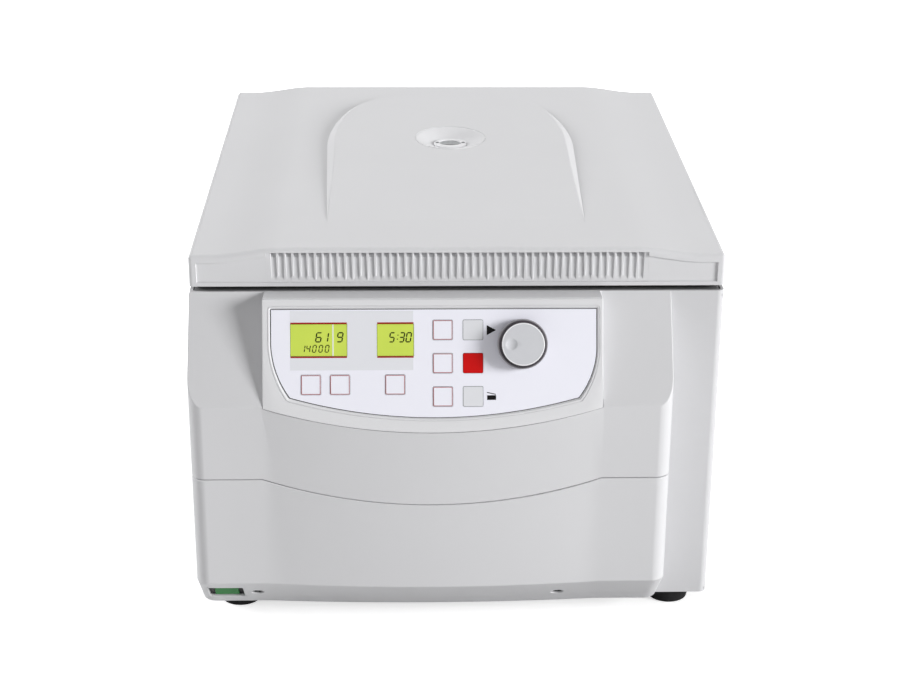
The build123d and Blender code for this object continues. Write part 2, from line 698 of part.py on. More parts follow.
ARCH_TOP_Y = ARCH_REAR_Y - ARCH_FLANK
TOP_Z = lid_top(ARCH_TOP_Y) + ARCH_RISE / cos(radians(LID_SLOPE))
lid_outer = lid_blank(0)
lid_inner = lid_blank(LID_WALL)
lid_face_h = LID_SIDE_FRONT_H - LID_RIM
port_axis_z = lid_top(ROTOR_Y)
with BuildPart() as lid_shell:
    add(lid_outer.part)
    add(lid_inner.part, mode=Mode.SUBTRACT)
    with BuildSketch(Plane.XZ.offset(-LID_FRONT_Y)):
        with BuildLine():
            edge_x = HALF_W - LID_RIM - LID_CORNER_R / 2
            Polyline(
                (-edge_x, LID_BOTTOM_Z + LID_RIM),
                (-edge_x, LID_BOTTOM_Z + lid_face_h - LID_ROLL / 2),
                (-LID_CREASE_X, LID_BOTTOM_Z + LID_FRONT_H - LID_RIM - LID_ROLL / 2),
                (LID_CREASE_X, LID_BOTTOM_Z + LID_FRONT_H - LID_RIM - LID_ROLL / 2),
                (edge_x, LID_BOTTOM_Z + lid_face_h - LID_ROLL / 2),
                (edge_x, LID_BOTTOM_Z + LID_RIM),
                close=True,
            )
        make_face()
    extrude(amount=-LID_FACE_RECESS, mode=Mode.SUBTRACT)
    with BuildSketch(Plane.XZ.offset(-LID_FRONT_Y)):
        with Locations((0, LID_BOTTOM_Z + GRILLE_RISE + GRILLE_H / 2)):
            Rectangle(2 * (GRILLE_HALF_W + LID_RIM), GRILLE_H)
    extrude(amount=-LID_WALL - 1, mode=Mode.SUBTRACT)
    with BuildSketch(Plane.XY.offset(PLATE_Z)):
        with Locations((0, ROTOR_Y)):
            Circle(PORT_R)
    extrude(amount=TOP_Z - PLATE_Z, mode=Mode.SUBTRACT)
write_piece(lid_shell, "lid_shell")

# Grille: one plate in the lid's front wall, with scooped slots
GRILLE_Y = LID_FRONT_Y + LID_FACE_RECESS
with BuildPart() as lid_grille:
    with BuildSketch(Plane.XZ.offset(-GRILLE_Y)):
        with Locations((0, LID_BOTTOM_Z + GRILLE_RISE + GRILLE_H / 2)):
            Rectangle(2 * (GRILLE_HALF_W + LID_RIM - FIT), GRILLE_H - 2 * FIT)
    extrude(amount=-GRILLE_T)
    slot_low = LID_BOTTOM_Z + GRILLE_RISE + (GRILLE_H - GRILLE_SLOT_H) / 2
    with BuildSketch(Plane.YZ.offset(-(GRILLE_PITCH - GRILLE_RIB) / 2)):
        with BuildLine():
            Polyline(
                (GRILLE_Y, slot_low),
                (GRILLE_Y, slot_low + GRILLE_SLOT_H),
                (GRILLE_Y + GRILLE_SCOOP, slot_low + GRILLE_SLOT_H),
                close=True,
            )
        make_face()
    scoop = extrude(amount=GRILLE_PITCH - GRILLE_RIB, mode=Mode.PRIVATE)
    scoop_xs = [(i - (GRILLE_SLOTS - 1) / 2) * GRILLE_PITCH for i in range(GRILLE_SLOTS)]
    add([Pos(x, 0, 0) * scoop for x in scoop_xs], mode=Mode.SUBTRACT)
write_piece(lid_grille, "lid_grille")

# Arch panel: a raised field on the lid's top that fades out at the front
slope_scale = 1 / cos(radians(LID_SLOPE))


def up_slope(x, y):
    """A plan point as a point of the lid's top plane."""
    return (x, (y - LID_FRONT_Y) * slope_scale)


def arch_side(side):
    """Points up one side of the arch, from its front corner to its crown."""
    return [
        up_slope(side * ARCH_HALF_FRONT, ARCH_FRONT_Y),
        up_slope(side * ARCH_HALF_W, ARCH_SHOULDER_Y),
        up_slope(
            side * ((ARCH_HALF_W + ARCH_HAUNCH_X) / 2 + ARCH_SIDE_BOW),
            (ARCH_SHOULDER_Y + ARCH_HAUNCH_Y) / 2,
        ),
        up_slope(side * ARCH_HAUNCH_X, ARCH_HAUNCH_Y),
        up_slope(
            side * ((ARCH_HAUNCH_X + ARCH_CROWN_X) / 2 + ARCH_HAUNCH_BOW),
            (ARCH_HAUNCH_Y + ARCH_CROWN_Y) / 2 + ARCH_HAUNCH_BOW,
        ),
        up_slope(side * ARCH_CROWN_X, ARCH_CROWN_Y),
    ]


with BuildPart() as arch_panel:
    with BuildSketch(LID_PLANE):
        with BuildLine():
            right_side = arch_side(1)
            left_side = arch_side(-1)
            Line(left_side[0], right_side[0])
            Line(right_side[0], right_side[1])
            ThreePointArc(*right_side[1:4])
            ThreePointArc(*right_side[3:6])
            ThreePointArc(right_side[5], up_slope(0, ARCH_REAR_Y), left_side[5])
            ThreePointArc(left_side[5], left_side[4], left_side[3])
            ThreePointArc(left_side[3], left_side[2], left_side[1])
            Line(left_side[1], left_side[0])
        make_face()
    extrude(amount=ARCH_RISE + 1, taper=degrees(atan2(ARCH_FLANK, ARCH_RISE)))
    with BuildSketch(Plane.YZ.offset(-HALF_W)):
        with BuildLine():
            front = (ARCH_FRONT_Y, lid_top(ARCH_FRONT_Y))
            rear = (ARCH_TOP_Y, TOP_Z)
            knee_y = (ARCH_FRONT_Y + ARCH_SHOULDER_Y) / 2
            knee = (knee_y, lid_top(knee_y) + 0.62 * ARCH_RISE)
            ThreePointArc(front, knee, rear)
            above = TOP_Z + 20
            Polyline(rear, (REAR_Y, TOP_Z), (REAR_Y, above), (ARCH_FRONT_Y, above), front)
        make_face()
    extrude(amount=WIDTH, mode=Mode.SUBTRACT)
    with BuildSketch(Plane.XY.offset(PLATE_Z)):
        with Locations((0, ROTOR_Y)):
            Circle(PORT_R)
    extrude(amount=TOP_Z - PLATE_Z, mode=Mode.SUBTRACT)
write_piece(arch_panel, "arch_panel")

# Viewing port: a dished collar, a tube down to the inner plate, and the window
port_top_z = lid_top(ROTOR_Y) + 0.8 * ARCH_RISE
dish_z = port_top_z - PORT_DEPTH
with BuildPart() as port_collar:
    with BuildSketch(BOWL_AXIS):
        with BuildLine():
            tube_r = PORT_RING_R + PORT_TUBE_WALL
            Polyline(
                (PORT_GLASS_R, dish_z - PORT_RING_T),
                (PORT_RING_R + FIT, dish_z - PORT_RING_T),
                (PORT_RING_R + FIT, dish_z),
                (PORT_R - FIT, port_top_z - 1),
                (PORT_R - FIT, port_top_z - 4),
                (tube_r, dish_z - PORT_RING_T),
                (tube_r, PLATE_Z + INNER_PLATE_T),
                (PORT_GLASS_R, PLATE_Z + INNER_PLATE_T),
                close=True,
            )
        make_face()
    revolve(axis=Axis((0, ROTOR_Y, 0), (0, 0, 1)))
    split(bisect_by=Plane.XY.offset(TOP_Z), keep=Keep.BOTTOM)
write_piece(port_collar, "port_collar")

with BuildPart() as port_ring:
    with BuildSketch(Plane.XY.offset(dish_z - PORT_RING_T)):
        with Locations((0, ROTOR_Y)):
            Circle(PORT_RING_R)
            Circle(PORT_GLASS_R, mode=Mode.SUBTRACT)
    extrude(amount=PORT_RING_T)
    with BuildSketch(Plane.XY.offset(dish_z)):
        with Locations((0, ROTOR_Y)):
            with PolarLocations((PORT_RING_R + PORT_GLASS_R) / 2, 2):
                Circle(1.1)
    extrude(amount=-1, mode=Mode.SUBTRACT)
    with Locations((0, ROTOR_Y, dish_z - PORT_RING_T)):
        Cylinder(
            PORT_GLASS_R + 2 + PIN_FIT,
            GLASS_T / 2,
            align=UPRIGHT,
            mode=Mode.SUBTRACT,
        )
write_piece(port_ring, "port_ring")

with BuildPart() as port_window:
    with Locations((0, ROTOR_Y, dish_z - PORT_RING_T)):
        Cylinder(
            PORT_GLASS_R + 2,
            GLASS_T / 2,
            align=UPRIGHT,
        )
write_piece(port_window, "port_window")

# Lid inner plate, edge seal, strikers and hinge arms
with BuildPart() as lid_inner_plate:
    with BuildSketch(Plane.XY.offset(PLATE_Z)):
        with Locations((0, (LID_FRONT_Y + REAR_Y) / 2)):
            RectangleRounded(
                WIDTH - 2 * (LID_WALL + FIT),
                LID_LEN - 2 * (LID_WALL + FIT) - 2 * GRILLE_T,
                LID_CORNER_R - LID_WALL,
            )
        with Locations((0, ROTOR_Y)):
            Circle(PORT_GLASS_R, mode=Mode.SUBTRACT)
    extrude(amount=INNER_PLATE_T)
write_piece(lid_inner_plate, "lid_inner_plate")

with BuildPart() as lid_edge_seal:
    with BuildSketch(Plane.XY.offset(DECK_TOP_Z + FIT)):
        seal_half = HALF_W - SEAL_INSET
        seal_front = HOUSING_FRONT_Y + SEAL_INSET + 2 * LID_WALL
        seal_rear = HOUSING_REAR_Y - 3 * SEAL_W
        with Locations((0, (seal_front + seal_rear) / 2)):
            RectangleRounded(2 * seal_half, seal_rear - seal_front, 6)
            with Locations((0, SEAL_W)):
                Rectangle(
                    2 * (seal_half - SEAL_W),
                    seal_rear - seal_front,
                    mode=Mode.SUBTRACT,
                )
    extrude(amount=PLATE_Z - DECK_TOP_Z - FIT)
write_piece(lid_edge_seal, "lid_edge_seal")

STRIKER_LOW_Z = PLATE_Z - STRIKER_DROP
STRIKER_EYE_Z = STRIKER_LOW_Z + STRIKER_SILL + STRIKER_HOLE_H / 2
with BuildPart() as strikers:
    with BuildSketch(Plane.XZ.offset(-(LATCH_Y - STRIKER_T / 2))):
        with Locations((-LATCH_X, STRIKER_LOW_Z), (LATCH_X, STRIKER_LOW_Z)):
            Rectangle(STRIKER_W, STRIKER_DROP, align=(Align.CENTER, Align.MIN))
        with Locations((-LATCH_X, STRIKER_EYE_Z), (LATCH_X, STRIKER_EYE_Z)):
            Rectangle(STRIKER_HOLE_W, STRIKER_HOLE_H, mode=Mode.SUBTRACT)
    extrude(amount=-STRIKER_T)
write_piece(strikers, "strikers")

with BuildPart() as lid_hinge_arms:
    for x in (-HINGE_X, HINGE_X):
        with BuildSketch(Plane.YZ.offset(x - HINGE_BARREL_W / 2)):
            with Locations((HINGE_Y, HINGE_Z)):
                Circle(HINGE_BARREL_R)
            with BuildLine():
                web = HINGE_PIN_R - 1
                Polyline(
                    (HINGE_Y - web, HINGE_Z),
                    (HINGE_Y - web, PLATE_Z - HINGE_LEAF_T),
                    (HINGE_Y - HINGE_LEAF_L, PLATE_Z - HINGE_LEAF_T),
                    (HINGE_Y - HINGE_LEAF_L, PLATE_Z),
                    (HINGE_Y + web, PLATE_Z),
                    (HINGE_Y + web, HINGE_Z),
                    close=True,
                )
            make_face()
            with Locations((HINGE_Y, HINGE_Z)):
                Circle(HINGE_PIN_R + PIN_FIT, mode=Mode.SUBTRACT)
        extrude(amount=HINGE_BARREL_W)
write_piece(lid_hinge_arms, "lid_hinge_arms")

# Hinge brackets under the deck, with their pins
with BuildPart() as hinge_brackets:
    for x in (-HINGE_X, HINGE_X):
        for side in (-1, 1):
            ear_x = x + side * (HINGE_BARREL_W / 2 + FIT + HINGE_EAR_W / 2)
            with BuildSketch(Plane.YZ.offset(ear_x - HINGE_EAR_W / 2)):
                with Locations((HINGE_Y, HINGE_Z)):
                    Circle(HINGE_BARREL_R)
                with BuildLine():
                    Polyline(
                        (HINGE_Y, HINGE_Z - HINGE_BARREL_R),
                        (HINGE_Y, DECK_LOWER_Z),
                        (HOUSING_REAR_Y - BRACKET_L, DECK_LOWER_Z),
                        (HOUSING_REAR_Y - BRACKET_L, DECK_LOWER_Z - BRACKET_T),
                        close=True,
                    )
                make_face()
                with Locations((HINGE_Y, HINGE_Z)):
                    Circle(HINGE_PIN_R + PIN_FIT, mode=Mode.SUBTRACT)
            extrude(amount=HINGE_EAR_W)
        with BuildSketch(Plane.XY.offset(DECK_LOWER_Z)):
            with Locations((x, HOUSING_REAR_Y - 0.8 * BRACKET_L)):
                Rectangle(2 * HINGE_EAR_W + HINGE_BARREL_W + 2 * FIT, 0.4 * BRACKET_L)
        extrude(amount=-BRACKET_T)
write_piece(hinge_brackets, "hinge_brackets")

with BuildPart() as hinge_pins:
    pin_len = HINGE_BARREL_W + 2 * (HINGE_EAR_W + FIT)
    for x in (-HINGE_X, HINGE_X):
        with BuildSketch(Plane.YZ.offset(x - pin_len / 2)):
            with Locations((HINGE_Y, HINGE_Z)):
                Circle(HINGE_PIN_R)
        extrude(amount=pin_len)
write_piece(hinge_pins, "hinge_pins")

# Latch: two hooks on one cross shaft, turned by a small gear motor
LATCH_SHAFT_Y = LATCH_Y + LATCH_SHAFT_BACK
LATCH_SHAFT_Z = STRIKER_EYE_Z - LATCH_SHAFT_DROP
BRACKET_X = LATCH_X + BRACKET_OFFSET
SHAFT_END = 6.0
with BuildPart() as latch_shaft:
    with BuildSketch(Plane.YZ.offset(-BRACKET_X - SHAFT_END)):
        with Locations((LATCH_SHAFT_Y, LATCH_SHAFT_Z)):
            Circle(LATCH_SHAFT_R)
    extrude(amount=2 * (BRACKET_X + SHAFT_END) + GEARBOX_L / 2)
write_piece(latch_shaft, "latch_shaft")

hook_face_y = LATCH_Y + STRIKER_T / 2 + HOOK_GAP
hook_tip_z = STRIKER_EYE_Z - HOOK_LIFT
with BuildPart() as latch_hooks:
    for x in (-LATCH_X, LATCH_X):
        with BuildSketch(Plane.YZ.offset(x - HOOK_T / 2)):
            with Locations((LATCH_SHAFT_Y, LATCH_SHAFT_Z)):
                Circle(HOOK_ARM_W)
            with BuildLine():
                Polyline(
                    (hook_face_y + HOOK_REACH, LATCH_SHAFT_Z),
                    (hook_face_y + HOOK_REACH, hook_tip_z),
                    (hook_face_y, hook_tip_z),
                    (hook_face_y + 1, hook_tip_z + HOOK_TIP_H),
                    (LATCH_SHAFT_Y + HOOK_ARM_W / 2, hook_tip_z + HOOK_TIP_H),
                    (LATCH_SHAFT_Y + HOOK_ARM_W - 1, LATCH_SHAFT_Z),
                    close=True,
                )
            make_face()
            with Locations((LATCH_SHAFT_Y, LATCH_SHAFT_Z)):
                Circle(LATCH_SHAFT_R + PIN_FIT, mode=Mode.SUBTRACT)
        extrude(amount=HOOK_T)
write_piece(latch_hooks, "latch_hooks")

with BuildPart() as latch_brackets:
    for x in (-BRACKET_X, BRACKET_X):
        with BuildSketch(Plane.YZ.offset(x - LATCH_BRACKET_T / 2)):
            with BuildLine():
                wide = LATCH_BRACKET_TOP
                narrow = LATCH_BRACKET_LOW
                Polyline(
                    (LATCH_SHAFT_Y - wide, DECK_LOWER_Z),
                    (LATCH_SHAFT_Y + wide, DECK_LOWER_Z),
                    (LATCH_SHAFT_Y + narrow, LATCH_SHAFT_Z - narrow),
                    (LATCH_SHAFT_Y - narrow, LATCH_SHAFT_Z - narrow),
                    close=True,
                )
            make_face()
            with Locations((LATCH_SHAFT_Y, LATCH_SHAFT_Z)):
                Circle(LATCH_SHAFT_R + PIN_FIT, mode=Mode.SUBTRACT)
        extrude(amount=LATCH_BRACKET_T)
write_piece(latch_brackets, "latch_brackets")

with BuildPart() as latch_motor:
    gearbox_x = BRACKET_X + LATCH_BRACKET_T / 2
    with BuildSketch(Plane.YZ.offset(gearbox_x)):
        with Locations((LATCH_SHAFT_Y, LATCH_SHAFT_Z)):
            RectangleRounded(GEARBOX_W, GEARBOX_H, 2)
            Circle(LATCH_SHAFT_R + PIN_FIT, mode=Mode.SUBTRACT)
    extrude(amount=GEARBOX_L)
    with BuildSketch(Plane.YZ.offset(gearbox_x + GEARBOX_L)):
        with Locations((LATCH_SHAFT_Y, LATCH_SHAFT_Z)):
            Circle(LATCH_MOTOR_R)
    extrude(amount=LATCH_MOTOR_L)
write_piece(latch_motor, "latch_motor")


# Front cover: one bulged form, split by a curved seam into an upper and a lower shell
def cover_outline(inset, back, front_shift=0.0, bulge=FACET_SET):
    """Plan outline of the cover, drawn in the current line block."""
    left = -HALF_W + inset
    right = COVER_RIGHT_X - inset
    face = FACET_Y + inset + front_shift
    r = COVER_CORNER_R - inset
    Polyline((left, back), (left, face + r))
    CenterArc((left + r, face + r), r, 180, 90)
    Line((left + r, face), (CREASE_LEFT_X, face))
    ThreePointArc(
        (CREASE_LEFT_X, face), (CREASE_MID_X, face - bulge), (CREASE_RIGHT_X, face)
    )
    Line((CREASE_RIGHT_X, face), (right - r, face))
    CenterArc((right - r, face + r), r, 270, 90)
    Polyline((right, face + r), (right, back), (left, back))


def seam_region(lift, high):
    """The space on one side of the curved seam, as a wide prism along Y."""
    far = HALF_W + 20
    with BuildPart() as region:
        with BuildSketch(Plane.XZ.offset(-FRONT_Y + 10)):
            with BuildLine():
                z = SEAM_Z + lift
                Line((-far, z), (CREASE_LEFT_X, z))
                ThreePointArc(
                    (CREASE_LEFT_X, z), (CREASE_MID_X, z - SEAM_DROP), (CREASE_RIGHT_X, z)
                )
                Polyline((CREASE_RIGHT_X, z), (far, z), (far, high), (-far, high), (-far, z))
            make_face()
        extrude(amount=-(COVER_DEPTH + 20))
    return region


def lower_form(inset):
    """Solid form of the lower cover with its undercut bevel, moved inwards."""
    back = HOUSING_FRONT_Y + 12
    slant = BEVEL_RUN / (BEVEL_TOP_Z - COVER_BOTTOM_Z)
    turn = inset * (sqrt(1 + slant * slant) - 1) / slant
    bottom_z = COVER_BOTTOM_Z + inset
    end_shift = BEVEL_RUN - inset * slant + inset * sqrt(1 + slant * slant) - inset
    with BuildPart() as form:
        with BuildSketch(Plane.XY.offset(BEVEL_TOP_Z + turn)):
            with BuildLine():
                cover_outline(inset, back)
            make_face()
        extrude(amount=SEAM_Z - BEVEL_TOP_Z + 10)
        with BuildSketch(Plane.XY.offset(bottom_z)):
            with BuildLine():
                cover_outline(inset, back, end_shift, BULGE_BOTTOM)
            make_face()
        with BuildSketch(Plane.XY.offset(BEVEL_TOP_Z + turn)):
            with BuildLine():
                cover_outline(inset, back)
            make_face()
        loft(ruled=True)
        split(bisect_by=Plane.XZ.offset(-HOUSING_FRONT_Y), keep=Keep.TOP)
    return form


BEVEL_LEN = hypot(BEVEL_RUN, BEVEL_TOP_Z - COVER_BOTTOM_Z)
BEVEL_OUT = Vector(0, -(BEVEL_TOP_Z - COVER_BOTTOM_Z) / BEVEL_LEN, -BEVEL_RUN / BEVEL_LEN)


def bevel_plane(x):
    """The bevel's tangent plane at its mid height, facing out and down."""
    share = max(0.0, 1 - ((x - CREASE_MID_X) / CREASE_HALF) ** 2)
    bulge = (FACET_SET + BULGE_BOTTOM) / 2 * share
    origin = (
        x,
        FACET_Y + BEVEL_RUN / 2 - bulge,
        (BEVEL_TOP_Z + COVER_BOTTOM_Z) / 2,
    )
    return Plane(origin=origin, x_dir=(1, 0, 0), z_dir=BEVEL_OUT)


lower_outer = lower_form(0)
lower_inner = lower_form(COVER_WALL)
seam_above = seam_region(-SEAM_GAP / 2, DECK_TOP_Z)
with BuildPart() as front_cover_lower:
    add(lower_outer.part)
    add(lower_inner.part, mode=Mode.SUBTRACT)
    add(seam_above.part, mode=Mode.SUBTRACT)
    for x in RELEASE_XS:
        with BuildSketch(bevel_plane(x).offset(-COVER_WALL / 2)):
            Circle(RELEASE_R + RELEASE_BOSS_WALL)
        extrude(amount=-RELEASE_LEN)
    for x in RELEASE_XS:
        with BuildSketch(bevel_plane(x).offset(COVER_WALL)):
            Circle(RELEASE_R)
        extrude(amount=-RELEASE_LEN - 3 * COVER_WALL, mode=Mode.SUBTRACT)
    with BuildSketch(bevel_plane(SWITCH_X).offset(COVER_WALL)):
        Rectangle(SWITCH_W, SWITCH_L)
    extrude(amount=-4 * COVER_WALL, mode=Mode.SUBTRACT)
write_piece(front_cover_lower, "front_cover_lower")

SHOULDER_PLANE = Plane(
    origin=(0, HOUSING_FRONT_Y, CONSOLE_TOP_Z),
    x_dir=(1, 0, 0),
    z_dir=(0, -(CONSOLE_TOP_Z - SHOULDER_Z), HOUSING_FRONT_Y - FACET_Y),
)


def console_outline(margin):
    """Bezel outline on the console plane, drawn in the current line block."""
    left = CONSOLE_LEFT_X + margin
    right = CONSOLE_RIGHT_X - margin
    mid = (left + right) / 2
    Polyline((left, -CONSOLE_SIDE_LEN + margin), (left, -margin), (right, -margin))
    Line((right, -margin), (right, -CONSOLE_SIDE_LEN + margin))
    ThreePointArc(
        (right, -CONSOLE_SIDE_LEN + margin),
        (mid, -CONSOLE_MID_LEN + margin),
        (left, -CONSOLE_SIDE_LEN + margin),
    )


def upper_form(inset):
    """Solid form of the upper cover: shoulders and console block, moved inwards."""
    low_z = SEAM_Z - SEAM_DROP - 10
    face = CONSOLE_PLANE.offset(-BEZEL_T - inset)
    run = tan(radians(CONSOLE_TILT))
    face_top_y = face.origin.Y - (face.origin.Z - CONSOLE_TOP_Z + inset) * run
    front_y = FACET_Y + inset
    meet_z = CONSOLE_TOP_Z - inset - (face_top_y - front_y) / run
    with BuildPart() as block:
        with BuildSketch(Plane.YZ.offset(CONSOLE_LEFT_X + inset)):
            with BuildLine():
                Polyline(
                    (HOUSING_FRONT_Y, low_z),
                    (HOUSING_FRONT_Y, CONSOLE_TOP_Z - inset),
                    (face_top_y, CONSOLE_TOP_Z - inset),
                    (front_y, meet_z),
                    (front_y, low_z),
                    close=True,
                )
            make_face()
        extrude(amount=CONSOLE_RIGHT_X - CONSOLE_LEFT_X - 2 * inset)
    with BuildPart() as form:
        with BuildSketch(Plane.XY.offset(low_z)):
            with BuildLine():
                cover_outline(inset, HOUSING_FRONT_Y)
            make_face()
        extrude(amount=CONSOLE_TOP_Z - low_z)
        split(bisect_by=SHOULDER_PLANE.offset(-inset), keep=Keep.BOTTOM)
        add(block.part)
    return form


upper_outer = upper_form(0)
upper_inner = upper_form(COVER_WALL)
seam_below = seam_region(SEAM_GAP / 2, COVER_BOTTOM_Z)
with BuildPart() as front_cover_upper:
    add(upper_outer.part)
    add(upper_inner.part, mode=Mode.SUBTRACT)
    add(seam_below.part, mode=Mode.SUBTRACT)
    with BuildSketch(CONSOLE_PLANE.offset(-BEZEL_T)):
        with BuildLine():
            console_outline(-FIT)
        make_face()
    extrude(amount=40, mode=Mode.SUBTRACT)
    with BuildSketch(CONSOLE_PLANE.offset(-BEZEL_T)):
        with BuildLine():
            console_outline(BOARD_MARGIN)
        make_face()
    extrude(amount=-40, mode=Mode.SUBTRACT)
write_piece(front_cover_upper, "front_cover_upper")


# Console: bezel with a pocket for the membrane, keys, displays, board and knob
def membrane_outline(grow):
    """Outline of the printed membrane on the console plane, grown by a margin."""
    left = CONSOLE_LEFT_X + MEMBRANE_LEFT - grow
    right = CONSOLE_RIGHT_X - MEMBRANE_RIGHT + grow
    top = -MEMBRANE_TOP + grow
    mid = (left + right) / 2 + MEMBRANE_BIAS
    shares = (0, 0.3, 1)
    left_run = [
        (left + inward, -down - share * grow)
        for (inward, down), share in zip(MEMBRANE_LEFT_RUN, shares)
    ]
    right_run = [
        (right - inward, -down - share * grow)
        for (inward, down), share in zip(MEMBRANE_RIGHT_RUN, shares)
    ]
    Polyline(left_run[0], (left, top), (right, top), right_run[0])
    ThreePointArc(*right_run)
    ThreePointArc(right_run[2], (mid, -MEMBRANE_MID - grow), left_run[2])
    ThreePointArc(left_run[2], left_run[1], left_run[0])


low_xs = [CONSOLE_LEFT_X + x for x in KEY_LOW_IN]
main_x = CONSOLE_LEFT_X + KEY_MAIN_IN
run_x = CONSOLE_LEFT_X + KEY_RUN_IN
KEY_PLACES = {
    "key_mode": (low_xs[0], -KEY_LOW_ROW),
    "key_ramp": (low_xs[1], -KEY_LOW_ROW),
    "key_time": (low_xs[2], -KEY_LOW_ROW),
    "key_program": (main_x, -KEY_ROWS[0]),
    "key_store": (main_x, -KEY_ROWS[1]),
    "key_pulse": (main_x, -KEY_ROWS[2]),
    "key_start": (run_x, -KEY_ROWS[0]),
    "key_stop": (run_x, -KEY_ROWS[1]),
    "key_lid_open": (run_x, -KEY_ROWS[2]),
}
LCD_PLACES = (
    (CONSOLE_LEFT_X + LCD_LEFT_IN, LCD_LEFT_W),
    (CONSOLE_LEFT_X + LCD_RIGHT_IN, LCD_RIGHT_W),
)
BOARD_FACE = -BEZEL_T - BOARD_GAP
POCKET_FLOOR = -MEMBRANE_RECESS - MEMBRANE_T


def panel_cutouts():
    """Openings for keys, displays and the knob's bushing, in the current sketch."""
    with Locations(*KEY_PLACES.values()):
        RectangleRounded(
            KEY_SIDE + 2 * KEY_GAP,
            KEY_SIDE + 2 * KEY_GAP,
            KEY_CORNER_R + KEY_GAP,
            mode=Mode.SUBTRACT,
        )
    for x, width in LCD_PLACES:
        with Locations((x, -LCD_DOWN)):
            Rectangle(width + 2 * FIT, LCD_H + 2 * FIT, mode=Mode.SUBTRACT)
    with Locations((KNOB_X, -KNOB_DOWN)):
        Circle(BUSHING_R + FIT, mode=Mode.SUBTRACT)


with BuildPart() as console_bezel:
    with BuildSketch(CONSOLE_PLANE.offset(-BEZEL_T)):
        with BuildLine():
            console_outline(0)
        make_face()
        panel_cutouts()
    extrude(amount=BEZEL_T)
    with BuildSketch(CONSOLE_PLANE.offset(POCKET_FLOOR)):
        with BuildLine():
            membrane_outline(FIT)
        make_face()
    extrude(amount=BEZEL_T, mode=Mode.SUBTRACT)
write_piece(console_bezel, "console_bezel")

with BuildPart() as membrane:
    with BuildSketch(CONSOLE_PLANE.offset(POCKET_FLOOR)):
        with BuildLine():
            membrane_outline(0)
        make_face()
        panel_cutouts()
    extrude(amount=MEMBRANE_T)
write_piece(membrane, "membrane")

for key_name, key_place in KEY_PLACES.items():
    with BuildPart() as key:
        with BuildSketch(CONSOLE_PLANE.offset(KEY_PROUD - MEMBRANE_RECESS)):
            with Locations(key_place):
                RectangleRounded(KEY_SIDE, KEY_SIDE, KEY_CORNER_R)
        extrude(amount=-KEY_STEM)
    write_piece(key, key_name)

with BuildPart() as lcd_modules:
    with BuildSketch(CONSOLE_PLANE.offset(BOARD_FACE)):
        for lcd_x, lcd_w in LCD_PLACES:
            with Locations((lcd_x, -LCD_DOWN)):
                Rectangle(lcd_w, LCD_H)
    extrude(amount=BEZEL_T + BOARD_GAP - 2 * MEMBRANE_RECESS)
write_piece(lcd_modules, "lcd_modules")

KEY_UNDERSIDE = KEY_PROUD - MEMBRANE_RECESS - KEY_STEM
with BuildPart() as display_board:
    with BuildSketch(CONSOLE_PLANE.offset(BOARD_FACE)):
        with BuildLine():
            console_outline(2 * BOARD_MARGIN)
        make_face()
        with Locations((KNOB_X, -KNOB_DOWN)):
            Circle(BUSHING_R + FIT, mode=Mode.SUBTRACT)
    extrude(amount=-BOARD_T)
    with BuildSketch(CONSOLE_PLANE.offset(BOARD_FACE)):
        with Locations(*KEY_PLACES.values()):
            Rectangle(6, 6)
    extrude(amount=KEY_UNDERSIDE - KEY_TRAVEL - 0.1 - BOARD_FACE)
    standoff_left = CONSOLE_LEFT_X + 3 * BOARD_MARGIN
    standoff_right = CONSOLE_RIGHT_X - 3 * BOARD_MARGIN
    with BuildSketch(CONSOLE_PLANE.offset(BOARD_FACE)):
        for x in (standoff_left, standoff_right):
            with Locations((x, -2.8 * BOARD_MARGIN), (x, -CONSOLE_SIDE_LEN + 4 * BOARD_MARGIN)):
                Circle(2.5)
    extrude(amount=BOARD_GAP)
write_piece(display_board, "display_board")

with BuildPart() as encoder:
    with BuildSketch(CONSOLE_PLANE.offset(BOARD_FACE - BOARD_T)):
        with Locations((KNOB_X, -KNOB_DOWN)):
            Rectangle(ENCODER_SIDE, ENCODER_SIDE)
    extrude(amount=-ENCODER_DEPTH)
    with BuildSketch(CONSOLE_PLANE.offset(BOARD_FACE - BOARD_T)):
        with Locations((KNOB_X, -KNOB_DOWN)):
            Circle(BUSHING_R)
    extrude(amount=BOARD_T - BOARD_FACE)
    with BuildSketch(CONSOLE_PLANE):
        with Locations((KNOB_X, -KNOB_DOWN)):
            Circle(ENCODER_SHAFT_R + PIN_FIT)
    extrude(amount=BOARD_FACE - BOARD_T - 2, mode=Mode.SUBTRACT)
write_piece(encoder, "encoder")

with BuildPart() as encoder_shaft:
    with BuildSketch(CONSOLE_PLANE.offset(BOARD_FACE - BOARD_T - 1)):
        with Locations((KNOB_X, -KNOB_DOWN)):
            Circle(ENCODER_SHAFT_R)
    extrude(amount=KNOB_LIFT + KNOB_SKIRT_H - 2 - BOARD_FACE + BOARD_T + 1)
write_piece(encoder_shaft, "encoder_shaft")

KNOB_BASE = CONSOLE_PLANE.offset(KNOB_LIFT)
with BuildPart() as knob_skirt:
    with BuildSketch(KNOB_BASE):
        with Locations((KNOB_X, -KNOB_DOWN)):
            Circle(KNOB_SKIRT_R)
    extrude(amount=KNOB_SKIRT_H, taper=2)
    with BuildSketch(KNOB_BASE):
        with Locations((KNOB_X, -KNOB_DOWN)):
            Circle(ENCODER_SHAFT_R + PIN_FIT)
    extrude(amount=KNOB_SKIRT_H - 2, mode=Mode.SUBTRACT)
write_piece(knob_skirt, "knob_skirt")

